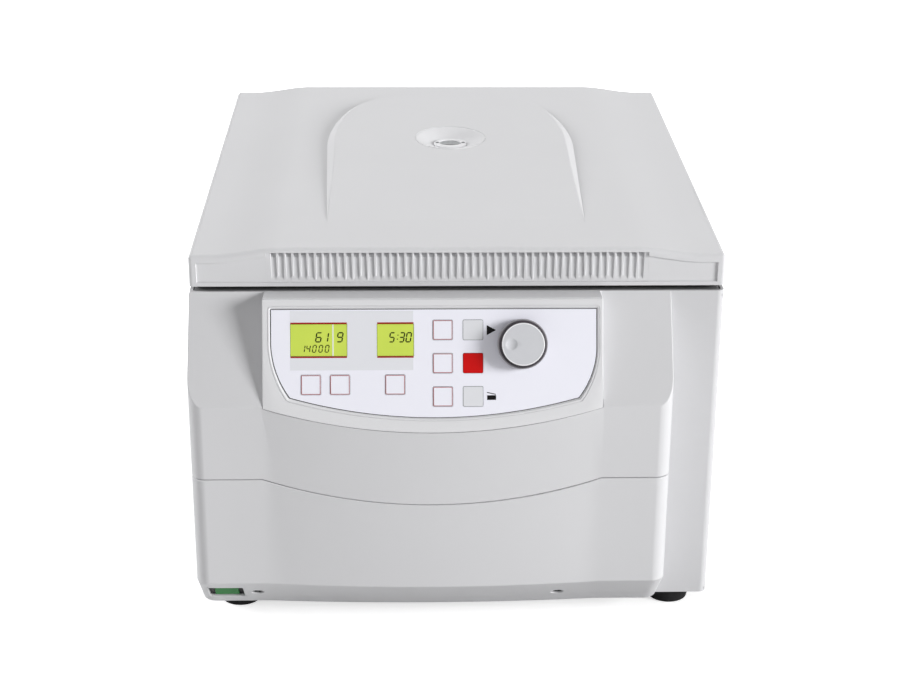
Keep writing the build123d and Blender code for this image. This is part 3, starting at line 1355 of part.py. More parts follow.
with BuildPart() as knob_cap:
    with BuildSketch(KNOB_BASE.offset(KNOB_SKIRT_H)):
        with Locations((KNOB_X, -KNOB_DOWN)):
            Circle(KNOB_CAP_R)
    extrude(amount=KNOB_CAP_H)
    chamfer(knob_cap.edges().filter_by(GeomType.CIRCLE).group_by(Axis.Z)[-1], 0.6)
    with BuildSketch(KNOB_BASE.offset(KNOB_SKIRT_H + KNOB_CAP_H)):
        with Locations((KNOB_X - DIMPLE_OFFSET, -KNOB_DOWN)):
            Circle(DIMPLE_R)
    extrude(amount=-DIMPLE_DEPTH, mode=Mode.SUBTRACT)
write_piece(knob_cap, "knob_cap")

# Power switch: a framed body in the bevel and a rocker on a pivot along X
SWITCH_PLANE = bevel_plane(SWITCH_X)
ROCKER_PIVOT = -SWITCH_RECESS - ROCKER_SINK
with BuildPart() as switch_body:
    with BuildSketch(SWITCH_PLANE.offset(-SWITCH_RECESS)):
        Rectangle(SWITCH_W - 2 * FIT, SWITCH_L - 2 * FIT)
    extrude(amount=-SWITCH_BODY_DEPTH)
    with BuildSketch(SWITCH_PLANE.offset(-SWITCH_RECESS)):
        Rectangle(ROCKER_W + 2 * FIT, SWITCH_L - 2 * FIT - 2 * SWITCH_RIM)
    extrude(amount=-12.0, mode=Mode.SUBTRACT)
write_piece(switch_body, "switch_body")

with BuildPart() as power_rocker:
    with BuildSketch(Plane.YZ.offset(SWITCH_X - ROCKER_W / 2)):
        across = Vector(0, BEVEL_OUT.Z, -BEVEL_OUT.Y)
        middle = SWITCH_PLANE.origin + BEVEL_OUT * ROCKER_PIVOT

        def rocker_point(along, out):
            """A corner of the rocker in the YZ plane, about its pivot."""
            spot = middle + across * along + BEVEL_OUT * out
            return (spot.Y, spot.Z)

        reach = SWITCH_L / 2 - SWITCH_RIM - 2 * FIT
        with Locations((middle.Y, middle.Z)):
            Circle(reach)
        with BuildLine():
            Polyline(
                rocker_point(-reach - 1, ROCKER_HIGH),
                rocker_point(0, ROCKER_MID),
                rocker_point(reach + 1, ROCKER_LOW),
                rocker_point(reach + 1, -1),
                rocker_point(4, -5),
                rocker_point(-4, -5),
                rocker_point(-reach - 1, -1),
                close=True,
            )
        make_face(mode=Mode.INTERSECT)
    extrude(amount=ROCKER_W)
write_piece(power_rocker, "power_rocker")

# Emergency lid-release pulls in their bores
RELEASE_NAMES = ("release_pull_left", "release_pull_right")
for pull_name, pull_x in zip(RELEASE_NAMES, RELEASE_XS):
    with BuildPart() as pull:
        with BuildSketch(bevel_plane(pull_x).offset(-RELEASE_SETBACK)):
            Circle(RELEASE_R - FIT)
        extrude(amount=-RELEASE_LEN + RELEASE_SETBACK)
        with BuildSketch(bevel_plane(pull_x).offset(-RELEASE_SETBACK)):
            Circle(RELEASE_R - FIT - 1.2)
            Rectangle(1.4, 2 * RELEASE_R, mode=Mode.SUBTRACT)
        extrude(amount=-2, mode=Mode.SUBTRACT)
    write_piece(pull, pull_name)

# Rear panel with its vents, mains inlet and cooling fan
with BuildPart() as rear_panel:
    with BuildSketch(Plane.XZ.offset(-HOUSING_REAR_Y)):
        with Locations((0, (PANEL_LOW_Z + PANEL_HIGH_Z) / 2)):
            RectangleRounded(2 * PANEL_HALF_W, PANEL_HIGH_Z - PANEL_LOW_Z, 3)
        for row in range(-4, 5):
            offset_z = row * VENT_PITCH
            reach = sqrt((FAN_SIDE / 2 - 4) ** 2 - offset_z**2)
            with Locations((FAN_X, FAN_Z + offset_z)):
                SlotOverall(2 * reach, VENT_H, mode=Mode.SUBTRACT)
        for row in range(8):
            with Locations((-FAN_X, FAN_Z + (row - 2) * VENT_PITCH)):
                SlotOverall(110, VENT_H, mode=Mode.SUBTRACT)
        with Locations((INLET_X, INLET_Z)):
            Rectangle(INLET_W + 2 * FIT, INLET_H + 2 * FIT, mode=Mode.SUBTRACT)
    extrude(amount=-PANEL_T)
write_piece(rear_panel, "rear_panel")

PANEL_REAR_Y = HOUSING_REAR_Y + PANEL_T
screw_xs = (-PANEL_HALF_W + 5, 0, PANEL_HALF_W - 5)
with BuildPart() as panel_screws:
    with BuildSketch(Plane.XZ.offset(-PANEL_REAR_Y)):
        for z in (PANEL_LOW_Z + 4, PANEL_HIGH_Z - 4):
            with Locations(*[(x, z) for x in screw_xs]):
                Circle(PANEL_SCREW_R)
    extrude(amount=-PANEL_SCREW_H)
write_piece(panel_screws, "panel_screws")

with BuildPart() as power_inlet:
    with BuildSketch(Plane.XZ.offset(-PANEL_REAR_Y)):
        with Locations((INLET_X, INLET_Z)):
            RectangleRounded(INLET_W + 2 * INLET_EAR, INLET_H + 8, 3)
    extrude(amount=-INLET_FLANGE_T)
    with BuildSketch(Plane.XZ.offset(-PANEL_REAR_Y)):
        with Locations((INLET_X, INLET_Z)):
            Rectangle(INLET_W, INLET_H)
    extrude(amount=INLET_DEPTH)
    socket_floor = INLET_DEPTH - INLET_FLOOR_T
    with BuildSketch(Plane.XZ.offset(-PANEL_REAR_Y - INLET_FLANGE_T)):
        with Locations((INLET_X, INLET_Z)):
            Rectangle(INLET_W - 2 * INLET_WALL, INLET_H - 2 * INLET_WALL)
    extrude(amount=socket_floor, mode=Mode.SUBTRACT)
    with BuildSketch(Plane.XZ.offset(-PANEL_REAR_Y + socket_floor)):
        with Locations((INLET_X, INLET_Z + 2)):
            Rectangle(*INLET_PIN)
        with Locations((INLET_X - INLET_PIN_X, INLET_Z - 2), (INLET_X + INLET_PIN_X, INLET_Z - 2)):
            Rectangle(*INLET_PIN)
    extrude(amount=-INLET_PIN_L)
write_piece(power_inlet, "power_inlet")

with BuildPart() as fan_frame:
    with BuildSketch(Plane.XZ.offset(-HOUSING_REAR_Y)):
        with Locations((FAN_X, FAN_Z)):
            RectangleRounded(FAN_SIDE, FAN_SIDE, 5)
            Circle(FAN_SIDE / 2 - FAN_RIM, mode=Mode.SUBTRACT)
    extrude(amount=FAN_DEPTH)
    with BuildSketch(Plane.XZ.offset(-HOUSING_REAR_Y + FAN_DEPTH - FAN_SPIDER_T)):
        with Locations((FAN_X, FAN_Z)):
            Circle(FAN_HUB_R)
            Rectangle(FAN_SIDE - 4, 4)
            Rectangle(4, FAN_SIDE - 4)
            Circle(FAN_PIN_R + PIN_FIT, mode=Mode.SUBTRACT)
    extrude(amount=FAN_SPIDER_T)
write_piece(fan_frame, "fan_frame")

FAN_PLANE = Plane.XZ.offset(-HOUSING_REAR_Y + FAN_RIM)
with BuildPart() as fan_impeller:
    with BuildSketch(FAN_PLANE):
        with Locations((FAN_X, FAN_Z)):
            Circle(FAN_HUB_R)
            with PolarLocations(0, FAN_BLADES):
                with Locations((FAN_SIDE / 4, 0)):
                    Rectangle(FAN_SIDE / 2 - 2 * FAN_RIM, 2.4, rotation=8)
    extrude(amount=FAN_DEPTH - FAN_RIM - FAN_SPIDER_T - 2)
    with BuildSketch(FAN_PLANE):
        with Locations((FAN_X, FAN_Z)):
            Circle(FAN_PIN_R)
    extrude(amount=FAN_DEPTH - FAN_RIM)
write_piece(fan_impeller, "fan_impeller")

# Drive electronics on standoffs in the front of the base
STANDOFF_H = 8.0
BOARD_Z = BASE_UPPER_Z + STANDOFF_H
INVERTER_W = 190.0
INVERTER_L = 100.0
INVERTER_T = 2.0
CAPACITOR_R = 15.0
CAPACITOR_H = 40.0
HEATSINK = (60.0, 50.0, 34.0)
INVERTER_Y = HOUSING_FRONT_Y + 20 + INVERTER_L / 2
with BuildPart() as inverter_board:
    with Locations((0, INVERTER_Y, BOARD_Z)):
        Box(INVERTER_W, INVERTER_L, INVERTER_T, align=UPRIGHT)
    with Locations((0, INVERTER_Y, BASE_UPPER_Z)):
        with GridLocations(INVERTER_W - 12, INVERTER_L - 12, 2, 2):
            Cylinder(3, STANDOFF_H, align=UPRIGHT)
    board_top = BOARD_Z + INVERTER_T
    capacitor_y = INVERTER_Y - CAPACITOR_R
    with Locations((-60, capacitor_y, board_top), (-20, capacitor_y, board_top)):
        Cylinder(CAPACITOR_R, CAPACITOR_H, align=UPRIGHT)
    with Locations((50, INVERTER_Y + 10, board_top)):
        Box(*HEATSINK, align=UPRIGHT)
write_piece(inverter_board, "inverter_board")
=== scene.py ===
"""Looks of the benchtop centrifuge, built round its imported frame.

The scene is in metres, with +X to the user's right, +Y to the rear and +Z up. Sizes in the classes
below are in millimetres, and the modelling helpers turn them into metres.
"""

import logging
import math
from collections.abc import Callable, Iterator, Sequence
from contextlib import contextmanager
from dataclasses import dataclass, field
from enum import Enum

import bmesh
import bpy
from mathutils import Matrix, Vector


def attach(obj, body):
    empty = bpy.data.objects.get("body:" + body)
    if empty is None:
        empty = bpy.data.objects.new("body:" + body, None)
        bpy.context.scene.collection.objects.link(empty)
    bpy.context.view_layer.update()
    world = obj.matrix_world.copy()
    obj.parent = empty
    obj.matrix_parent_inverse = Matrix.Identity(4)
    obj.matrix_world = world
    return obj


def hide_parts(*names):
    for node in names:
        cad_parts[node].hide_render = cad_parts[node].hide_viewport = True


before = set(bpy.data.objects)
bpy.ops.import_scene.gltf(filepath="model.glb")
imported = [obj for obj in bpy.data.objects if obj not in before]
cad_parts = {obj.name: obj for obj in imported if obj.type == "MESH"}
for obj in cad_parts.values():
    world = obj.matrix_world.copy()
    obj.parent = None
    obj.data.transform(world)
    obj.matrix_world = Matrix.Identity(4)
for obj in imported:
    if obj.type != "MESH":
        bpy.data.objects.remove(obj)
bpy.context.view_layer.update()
MM = 0.001
LOG = logging.getLogger("centrifuge")
Object = bpy.types.Object
Point = Sequence[float]
Pair = tuple[float, float]
Colour = tuple[float, float, float]
Full = tuple[float, float, float, float]


class Body(Enum):
    """The bodies of the frame that pieces ride on."""

    BASE = "base"
    LID = "lid"
    ROTOR = "rotor"
    KNOB = "knob"
    ROCKER = "power_rocker"
    FAN = "fan_impeller"


def shade(red: int, green: int, blue: int) -> Colour:
    """Turn a colour written as 0 to 255 into the linear values that shaders take."""
    levels = (v / 255 for v in (red, green, blue))
    return tuple(v / 12.92 if v <= 0.04045 else ((v + 0.055) / 1.055) ** 2.4 for v in levels)


# Modelling helpers
def activate(piece: Object) -> None:
    """Select one object alone and make it the active one.

    Args:
        piece: The object.
    """
    bpy.ops.object.select_all(action="DESELECT")
    piece.select_set(True)
    bpy.context.view_layer.objects.active = piece


@contextmanager
def editing(piece: Object) -> Iterator[None]:
    """Work on a piece in edit mode, with everything selected at first.

    Args:
        piece: The piece that is edited.

    Yields:
        Nothing, while the piece is in edit mode.
    """
    activate(piece)
    bpy.ops.object.mode_set(mode="EDIT")
    bpy.ops.mesh.select_mode(type="VERT")
    bpy.ops.mesh.select_all(action="SELECT")
    try:
        yield
    finally:
        bpy.ops.object.mode_set(mode="OBJECT")


@contextmanager
def picking(piece: Object, kind: str) -> Iterator[bmesh.types.BMesh]:
    """In edit mode, deselect everything, and hand the new selection to the piece at the end.

    Args:
        piece: The piece that is being edited.
        kind: Kind of element that is picked, VERT, EDGE or FACE.

    Yields:
        The mesh, to select elements in.
    """
    bpy.ops.mesh.select_mode(type=kind)
    bpy.ops.mesh.select_all(action="DESELECT")
    mesh = bmesh.from_edit_mesh(piece.data)
    yield mesh
    bmesh.update_edit_mesh(piece.data)


def pick_faces(piece: Object, test: Callable[[Vector, Vector], bool]) -> None:
    """In edit mode, select only the faces that a test accepts.

    Args:
        piece: The piece that is being edited.
        test: Takes a face's centre in millimetres and its normal.
    """
    with picking(piece, "FACE") as mesh:
        for face in mesh.faces:
            if test(face.calc_center_median() / MM, face.normal):
                face.select_set(True)


def pick_edges(piece: Object, test: Callable[[Vector, Vector], bool]) -> None:
    """In edit mode, select only the edges that a test accepts.

    Args:
        piece: The piece that is being edited.
        test: Takes the places of an edge's two ends in millimetres.
    """
    with picking(piece, "EDGE") as mesh:
        for edge in mesh.edges:
            if test(edge.verts[0].co / MM, edge.verts[1].co / MM):
                edge.select_set(True)


def pick_points(piece: Object, test: Callable[[Vector], bool]) -> None:
    """In edit mode, select only the vertices whose place in millimetres a test accepts.

    Args:
        piece: The piece that is being edited.
        test: Takes a vertex's place in millimetres.
    """
    with picking(piece, "VERT") as mesh:
        for vertex in mesh.verts:
            if test(vertex.co / MM):
                vertex.select_set(True)


def take(name: str) -> Object:
    """Name the object that was just added, and put its place and size into its mesh.

    Args:
        name: Name of the new piece.

    Returns:
        The piece.
    """
    piece = bpy.context.active_object
    piece.name = name
    piece.data.name = name
    bpy.ops.object.transform_apply(location=True, rotation=True, scale=True)
    return piece


def block(name: str, low: Point, high: Point) -> Object:
    """Add a box between two corners in millimetres.

    Args:
        name: Name of the new piece.
        low: Lowest corner.
        high: Highest corner.

    Returns:
        The box.
    """
    bpy.ops.object.select_all(action="DESELECT")
    centre = [(a + b) / 2 * MM for a, b in zip(low, high)]
    size = [(b - a) * MM for a, b in zip(low, high)]
    bpy.ops.mesh.primitive_cube_add(size=1, location=centre, scale=size)
    return take(name)


def rod(name: str, radius: float, low: Point, height: float, sides: int = 48) -> Object:
    """Add an upright cylinder that stands on a point.

    Args:
        name: Name of the new piece.
        radius: Its radius in millimetres.
        low: Middle of its foot.
        height: Its height.
        sides: Number of faces round it.

    Returns:
        The cylinder.
    """
    bpy.ops.object.select_all(action="DESELECT")
    centre = (low[0] * MM, low[1] * MM, (low[2] + height / 2) * MM)
    bpy.ops.mesh.primitive_cylinder_add(
        vertices=sides, radius=radius * MM, depth=height * MM, location=centre
    )
    return take(name)


def trace(name: str, points: Sequence[Point], closed: bool = True) -> Object:
    """Trace a line through points by extruding one vertex from each to the next.

    Args:
        name: Name of the new piece.
        points: Places in millimetres, in order.
        closed: Whether the line is closed and filled with a face.

    Returns:
        The line, or the face that it encloses.
    """
    bpy.ops.object.select_all(action="DESELECT")
    bpy.ops.mesh.primitive_plane_add(size=MM, location=[v * MM for v in points[0]])
    piece = take(name)
    with editing(piece):
        bpy.ops.mesh.merge(type="CENTER")
        for here, there in zip(points, points[1:]):
            step = [(b - a) * MM for a, b in zip(here, there)]
            bpy.ops.mesh.extrude_region_move(TRANSFORM_OT_translate={"value": step})
        if closed:
            bpy.ops.mesh.select_all(action="SELECT")
            bpy.ops.mesh.edge_face_add()
    return piece


def thicken(piece: Object, step: Point) -> None:
    """Extrude the whole of a flat piece along a step in millimetres, into a solid.

    Args:
        piece: The flat piece.
        step: Direction and length.
    """
    with editing(piece):
        bpy.ops.mesh.extrude_region_move(TRANSFORM_OT_translate={"value": [v * MM for v in step]})
        bpy.ops.mesh.select_all(action="SELECT")
        bpy.ops.mesh.normals_make_consistent(inside=False)


def lathe(
    name: str, profile: Sequence[Pair], centre: Point = (0, 0, 0), steps: int = 96
) -> Object:
    """Turn a profile of radius and height round an upright axis.

    Args:
        name: Name of the new piece.
        profile: Radius and height pairs in millimetres. A profile that starts and ends off the
            axis is closed into a ring's section.
        centre: Point of the axis that heights are counted from.
        steps: Number of faces round the piece.

    Returns:
        The turned solid.
    """
    points = [(centre[0] + r, centre[1], centre[2] + z) for r, z in profile]
    if profile[0][0] > 0:
        points.append(points[0])
    piece = trace(name, points, closed=False)
    with editing(piece):
        bpy.ops.mesh.remove_doubles(threshold=1e-6)
        bpy.ops.mesh.spin(
            steps=steps,
            angle=2 * math.pi,
            center=[v * MM for v in centre],
            axis=(0, 0, 1),
        )
        bpy.ops.mesh.select_all(action="SELECT")
        bpy.ops.mesh.remove_doubles(threshold=1e-6)
        bpy.ops.mesh.normals_make_consistent(inside=False)
    return piece


def loft(name: str, rings: Sequence[Sequence[Point]]) -> Object:
    """Join closed rings of equal point counts into a solid with flat ends.

    Args:
        name: Name of the new piece.
        rings: Points of each ring, in order.

    Returns:
        The solid.
    """
    loops = [trace("ring", [*ring, ring[0]], closed=False) for ring in rings]
    piece = join(loops, name)
    with editing(piece):
        bpy.ops.mesh.remove_doubles(threshold=1e-7)
        bpy.ops.mesh.select_mode(type="EDGE")
        bpy.ops.mesh.select_all(action="SELECT")
        bpy.ops.mesh.bridge_edge_loops()
        bpy.ops.mesh.select_all(action="DESELECT")
        bpy.ops.mesh.select_non_manifold()
        bpy.ops.mesh.fill_holes(sides=0)
        bpy.ops.mesh.select_all(action="SELECT")
        bpy.ops.mesh.normals_make_consistent(inside=False)
    return piece


def arc(first: Pair, middle: Pair, last: Pair, steps: int) -> list[Pair]:
    """Points of the arc through three points, without the last one.

    Args:
        first: Where the arc starts.
        middle: A point on it.
        last: Where it ends.
        steps: Number of parts that it is divided into.

    Returns:
        The points.
    """
    (ax, ay), (bx, by), (cx, cy) = first, middle, last
    d = 2 * (ax * (by - cy) + bx * (cy - ay) + cx * (ay - by))
    a2, b2, c2 = ax * ax + ay * ay, bx * bx + by * by, cx * cx + cy * cy
    x = (a2 * (by - cy) + b2 * (cy - ay) + c2 * (ay - by)) / d
    y = (a2 * (cx - bx) + b2 * (ax - cx) + c2 * (bx - ax)) / d
    radius = math.hypot(ax - x, ay - y)
    start = math.atan2(ay - y, ax - x)
    sweep = math.remainder(math.atan2(cy - y, cx - x) - start, 2 * math.pi)
    turns = [start + sweep * k / steps for k in range(steps)]
    return [(x + radius * math.cos(turn), y + radius * math.sin(turn)) for turn in turns]


def finish_with(piece: Object, kind: str, **settings: object) -> None:
    """Add a modifier with its settings and apply it.

    Args:
        piece: The piece.
        kind: Type of modifier.
        **settings: Properties of the modifier.
    """
    activate(piece)
    modifier = piece.modifiers.new(kind.title(), kind)
    for key, value in settings.items():
        setattr(modifier, key, value)
    bpy.ops.object.modifier_apply(modifier=modifier.name)


def round_edges(piece: Object, radius: float, segments: int = 2, angle: float = 30.0) -> None:
    """Round every sharp edge of a piece.

    Args:
        piece: The piece.
        radius: Edge radius in millimetres.
        segments: Faces across a rounded edge.
        angle: Edges sharper than this many degrees are rounded.
    """
    finish_with(
        piece,
        "BEVEL",
        width=radius * MM,
        segments=segments,
        limit_method="ANGLE",
        angle_limit=math.radians(angle),
        use_clamp_overlap=False,
        miter_outer="MITER_ARC",
    )


def cut(piece: Object, cutter: Object) -> None:
    """Cut one solid out of another, and take the cutter away."""
    finish_with(piece, "BOOLEAN", operation="DIFFERENCE", solver="EXACT", object=cutter)
    bpy.data.objects.remove(cutter)


def row_of(piece: Object, count: int, step: Point) -> None:
    """Copy a piece along a row, as one mesh.

    Args:
        piece: The piece.
        count: Number of copies, with the first one.
        step: From one copy to the next, in millimetres.
    """
    finish_with(
        piece,
        "ARRAY",
        count=count,
        use_relative_offset=False,
        use_constant_offset=True,
        constant_offset_displace=[v * MM for v in step],
    )


def join(pieces: Sequence[Object], name: str) -> Object:
    """Join several meshes into one piece.

    Args:
        pieces: The meshes.
        name: Name of the joined piece.

    Returns:
        The joined piece.
    """
    activate(pieces[0])
    for piece in pieces:
        piece.select_set(True)
    if len(pieces) > 1:
        bpy.ops.object.join()
    whole = bpy.context.active_object
    whole.name = name
    whole.data.name = name
    return whole


def settle(piece: Object, place: Matrix) -> Object:
    """Put a piece that was made in its own flat frame into its place."""
    piece.data.transform(place)
    return piece


def smooth(piece: Object, angle: float = 30.0) -> None:
    """Shade a piece smoothly up to an angle in degrees between faces."""
    activate(piece)
    bpy.ops.object.shade_smooth_by_angle(angle=math.radians(angle))


def rounded_copy(
    node: str, radius: float, segments: int = 2, angle: float = 30.0, flat: float = 0.4
) -> Object:
    """Copy a frame node, merge its triangles into whole faces and round its edges.

    Args:
        node: Name of the frame node.
        radius: Edge radius in millimetres. 0 leaves the edges as they are.
        segments: Faces across a rounded edge.
        angle: Edges sharper than this many degrees are rounded.
        flat: Faces that differ by less than this many degrees are merged.

    Returns:
        The copy.
    """
    piece = bpy.data.objects.new(f"{node}_skin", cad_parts[node].data.copy())
    bpy.context.scene.collection.objects.link(piece)
    activate(piece)
    bpy.ops.mesh.customdata_custom_splitnormals_clear()
    with editing(piece):
        bpy.ops.mesh.remove_doubles(threshold=2e-6)
        bpy.ops.mesh.dissolve_limited(angle_limit=math.radians(flat))
    if radius:
        round_edges(piece, radius, segments, angle)
    return piece


# Node groups for the effects that finishes share
def new_group(
    name: str, takes: dict[str, float | Colour | None], gives: dict[str, str]
) -> bpy.types.NodeTree:
    """Make an empty node group with its sockets.

    Args:
        name: Name of the group.
        takes: Input names with their defaults. A number makes a value, a triple a colour and
            None a vector.
        gives: Output names with their socket types.

    Returns:
        The group.
    """
    tree = bpy.data.node_groups.new(name, "ShaderNodeTree")
    for label, default in takes.items():
        if default is None:
            tree.interface.new_socket(label, in_out="INPUT", socket_type="NodeSocketVector")
        elif isinstance(default, tuple):
            socket = tree.interface.new_socket(label, in_out="INPUT", socket_type="NodeSocketColor")
            socket.default_value = (*default, 1)
        else:
            socket = tree.interface.new_socket(label, in_out="INPUT", socket_type="NodeSocketFloat")
            socket.default_value = default
    for label, kind in gives.items():
        tree.interface.new_socket(label, in_out="OUTPUT", socket_type=kind)
    tree.nodes.new("NodeGroupInput")
    tree.nodes.new("NodeGroupOutput")
    return tree


class Wiring:
    """Adds and links the nodes of one tree."""

    def __init__(self, tree: bpy.types.NodeTree) -> None:
        """Work on a tree."""
        self.tree = tree

    def add(
        self, kind: str, links: dict[str | int, object] | None = None, **settings: object
    ) -> bpy.types.Node:
        """Add a node, set its properties, and link or fill its inputs.

        Args:
            kind: Node type without its ShaderNode prefix.
            links: Input names or numbers with a socket to link from or a value to set.
            **settings: Properties of the node.

        Returns:
            The new node.
        """
        node = self.tree.nodes.new(f"ShaderNode{kind}")
        for key, value in settings.items():
            setattr(node, key, value)
        for key, value in (links or {}).items():
            if isinstance(value, bpy.types.NodeSocket):
                self.tree.links.new(value, node.inputs[key])
            else:
                node.inputs[key].default_value = value
        return node

    def place(self) -> bpy.types.NodeSocket:
        """The point's place in the piece's own coordinates."""
        return self.add("TexCoord").outputs["Object"]

    def noise(self, place: object, scale: object, detail: float) -> bpy.types.NodeSocket:
        """Add a noise texture and return its value."""
        return self.add("TexNoise", {"Vector": place, "Scale": scale, "Detail": detail}).outputs[0]

    def ramp(
        self, value: object, low: float, high: float, first: object = 0.0, last: object = 1.0
    ) -> bpy.types.NodeSocket:
        """Spread a value between low and high over first to last, and return the result."""
        return self.add("MapRange", {0: value, 1: low, 2: high, 3: first, 4: last}).outputs[0]

    def maths(
        self, operation: str, first: object, second: object = 0.0, third: object = 0.0
    ) -> bpy.types.NodeSocket:
        """Add a math node and return its result."""
        values = {0: first, 1: second, 2: third}
        return self.add("Math", values, operation=operation).outputs[0]

    def blend(
        self, share: object, first: object, second: object, kind: str = "MIX"
    ) -> bpy.types.NodeSocket:
        """Mix two colours by a share and return the result."""
        node = self.add("Mix", {0: share, 6: first, 7: second}, data_type="RGBA", blend_type=kind)
        return node.outputs[2]

    def ends(self) -> tuple[bpy.types.Node, bpy.types.Node]:
        """The input and output nodes of a group."""
        nodes = self.tree.nodes
        return nodes["Group Input"], nodes["Group Output"]


def grain_group() -> bpy.types.NodeTree:
    """Fine relief of moulded, coated or printed surfaces.

    Returns:
        The node group.
    """
    tree = new_group("fine_grain", {"Scale": 900.0, "Coarse": 0.25}, {"Height": "NodeSocketFloat"})
    wire = Wiring(tree)
    start, end = wire.ends()
    place = wire.place()
    fine = wire.noise(place, start.outputs["Scale"], 2.0)
    wide = wire.noise(place, wire.maths("MULTIPLY", start.outputs["Scale"], 0.22), 1.0)
    part = wire.maths("MULTIPLY", wide, start.outputs["Coarse"])
    tree.links.new(wire.maths("ADD", fine, part), end.inputs["Height"])
    return tree


def drift_group() -> bpy.types.NodeTree:
    """Slow change of tone and gloss over a surface, as handling and ageing leave it.

    Returns:
        The node group.
    """
    tree = new_group(
        "tone_drift",
        {"Colour": (0.6, 0.6, 0.6), "Amount": 0.05, "Gloss": 0.4, "Spread": 0.06, "Scale": 9.0},
        {"Colour": "NodeSocketColor", "Roughness": "NodeSocketFloat"},
    )
    wire = Wiring(tree)
    start, end = wire.ends()
    place = wire.place()
    cloud = wire.noise(place, start.outputs["Scale"], 4.0)
    swing = wire.maths("MULTIPLY_ADD", cloud, 2.0, -1.0)
    lift = wire.maths("MULTIPLY_ADD", swing, start.outputs["Amount"], 1.0)
    grey = wire.add("CombineColor", {0: lift, 1: lift, 2: lift})
    tinted = wire.blend(1.0, start.outputs["Colour"], grey.outputs[0], "MULTIPLY")
    smear = wire.noise(place, wire.maths("MULTIPLY", start.outputs["Scale"], 3.1), 5.0)
    sway = wire.maths("MULTIPLY_ADD", smear, 2.0, -1.0)
    gloss = wire.maths("MULTIPLY_ADD", sway, start.outputs["Spread"], start.outputs["Gloss"])
    tree.links.new(tinted, end.inputs["Colour"])
    tree.links.new(gloss, end.inputs["Roughness"])
    return tree


def wear_group() -> bpy.types.NodeTree:
    """Rubbed edges: a second colour along outer edges, broken up by noise.

    Returns:
        The node group.
    """
    tree = new_group(
        "edge_wear",
        {"Colour": (0.6, 0.6, 0.6), "Worn": (0.7, 0.7, 0.7), "Amount": 0.3},
        {"Colour": "NodeSocketColor"},
    )
    wire = Wiring(tree)
    start, end = wire.ends()
    ridge = wire.ramp(wire.add("NewGeometry").outputs["Pointiness"], 0.505, 0.56)
    broken = wire.ramp(wire.noise(wire.place(), 140.0, 4.0), 0.4, 0.62)
    mask = wire.maths("MULTIPLY", wire.maths("MULTIPLY", ridge, broken), start.outputs["Amount"])
    rubbed = wire.blend(mask, start.outputs["Colour"], start.outputs["Worn"])
    tree.links.new(rubbed, end.inputs["Colour"])
    return tree


def brushed_group() -> bpy.types.NodeTree:
    """Straight brush lines along X.

    Returns:
        The node group.
    """
    tree = new_group("brush_lines", {"Vector": None, "Scale": 1.0}, {"Lines": "NodeSocketFloat"})
    wire = Wiring(tree)
    start, end = wire.ends()
    stretch = {0: start.outputs["Vector"], 1: (14.0, 2600.0, 2600.0)}
    stretched = wire.add("VectorMath", stretch, operation="MULTIPLY")
    lines = wire.noise(stretched.outputs[0], start.outputs["Scale"], 3.0)
    tree.links.new(lines, end.inputs["Lines"])
    return tree


def turned_group() -> bpy.types.NodeTree:
    """Fine rings round an upright axis at the vector's origin, as a lathe tool leaves them.

    Returns:
        The node group.
    """
    tree = new_group("turned_rings", {"Vector": None, "Scale": 1500.0}, {"Lines": "NodeSocketFloat"})
    wire = Wiring(tree)
    start, end = wire.ends()
    split = wire.add("SeparateXYZ", {0: start.outputs["Vector"]})
    across = wire.maths("MULTIPLY", split.outputs[0], split.outputs[0])
    along = wire.maths("MULTIPLY", split.outputs[1], split.outputs[1])
    radius = wire.maths("SQRT", wire.maths("ADD", across, along))
    spot = wire.add("CombineXYZ", {0: radius, 1: split.outputs[2], 2: 0.0})
    rings = wire.noise(spot.outputs[0], start.outputs["Scale"], 2.0)
    tree.links.new(rings, end.inputs["Lines"])
    return tree


GROUPS = {
    "grain": grain_group(),
    "drift": drift_group(),
    "wear": wear_group(),
    "brushed": brushed_group(),
    "turned": turned_group(),
}


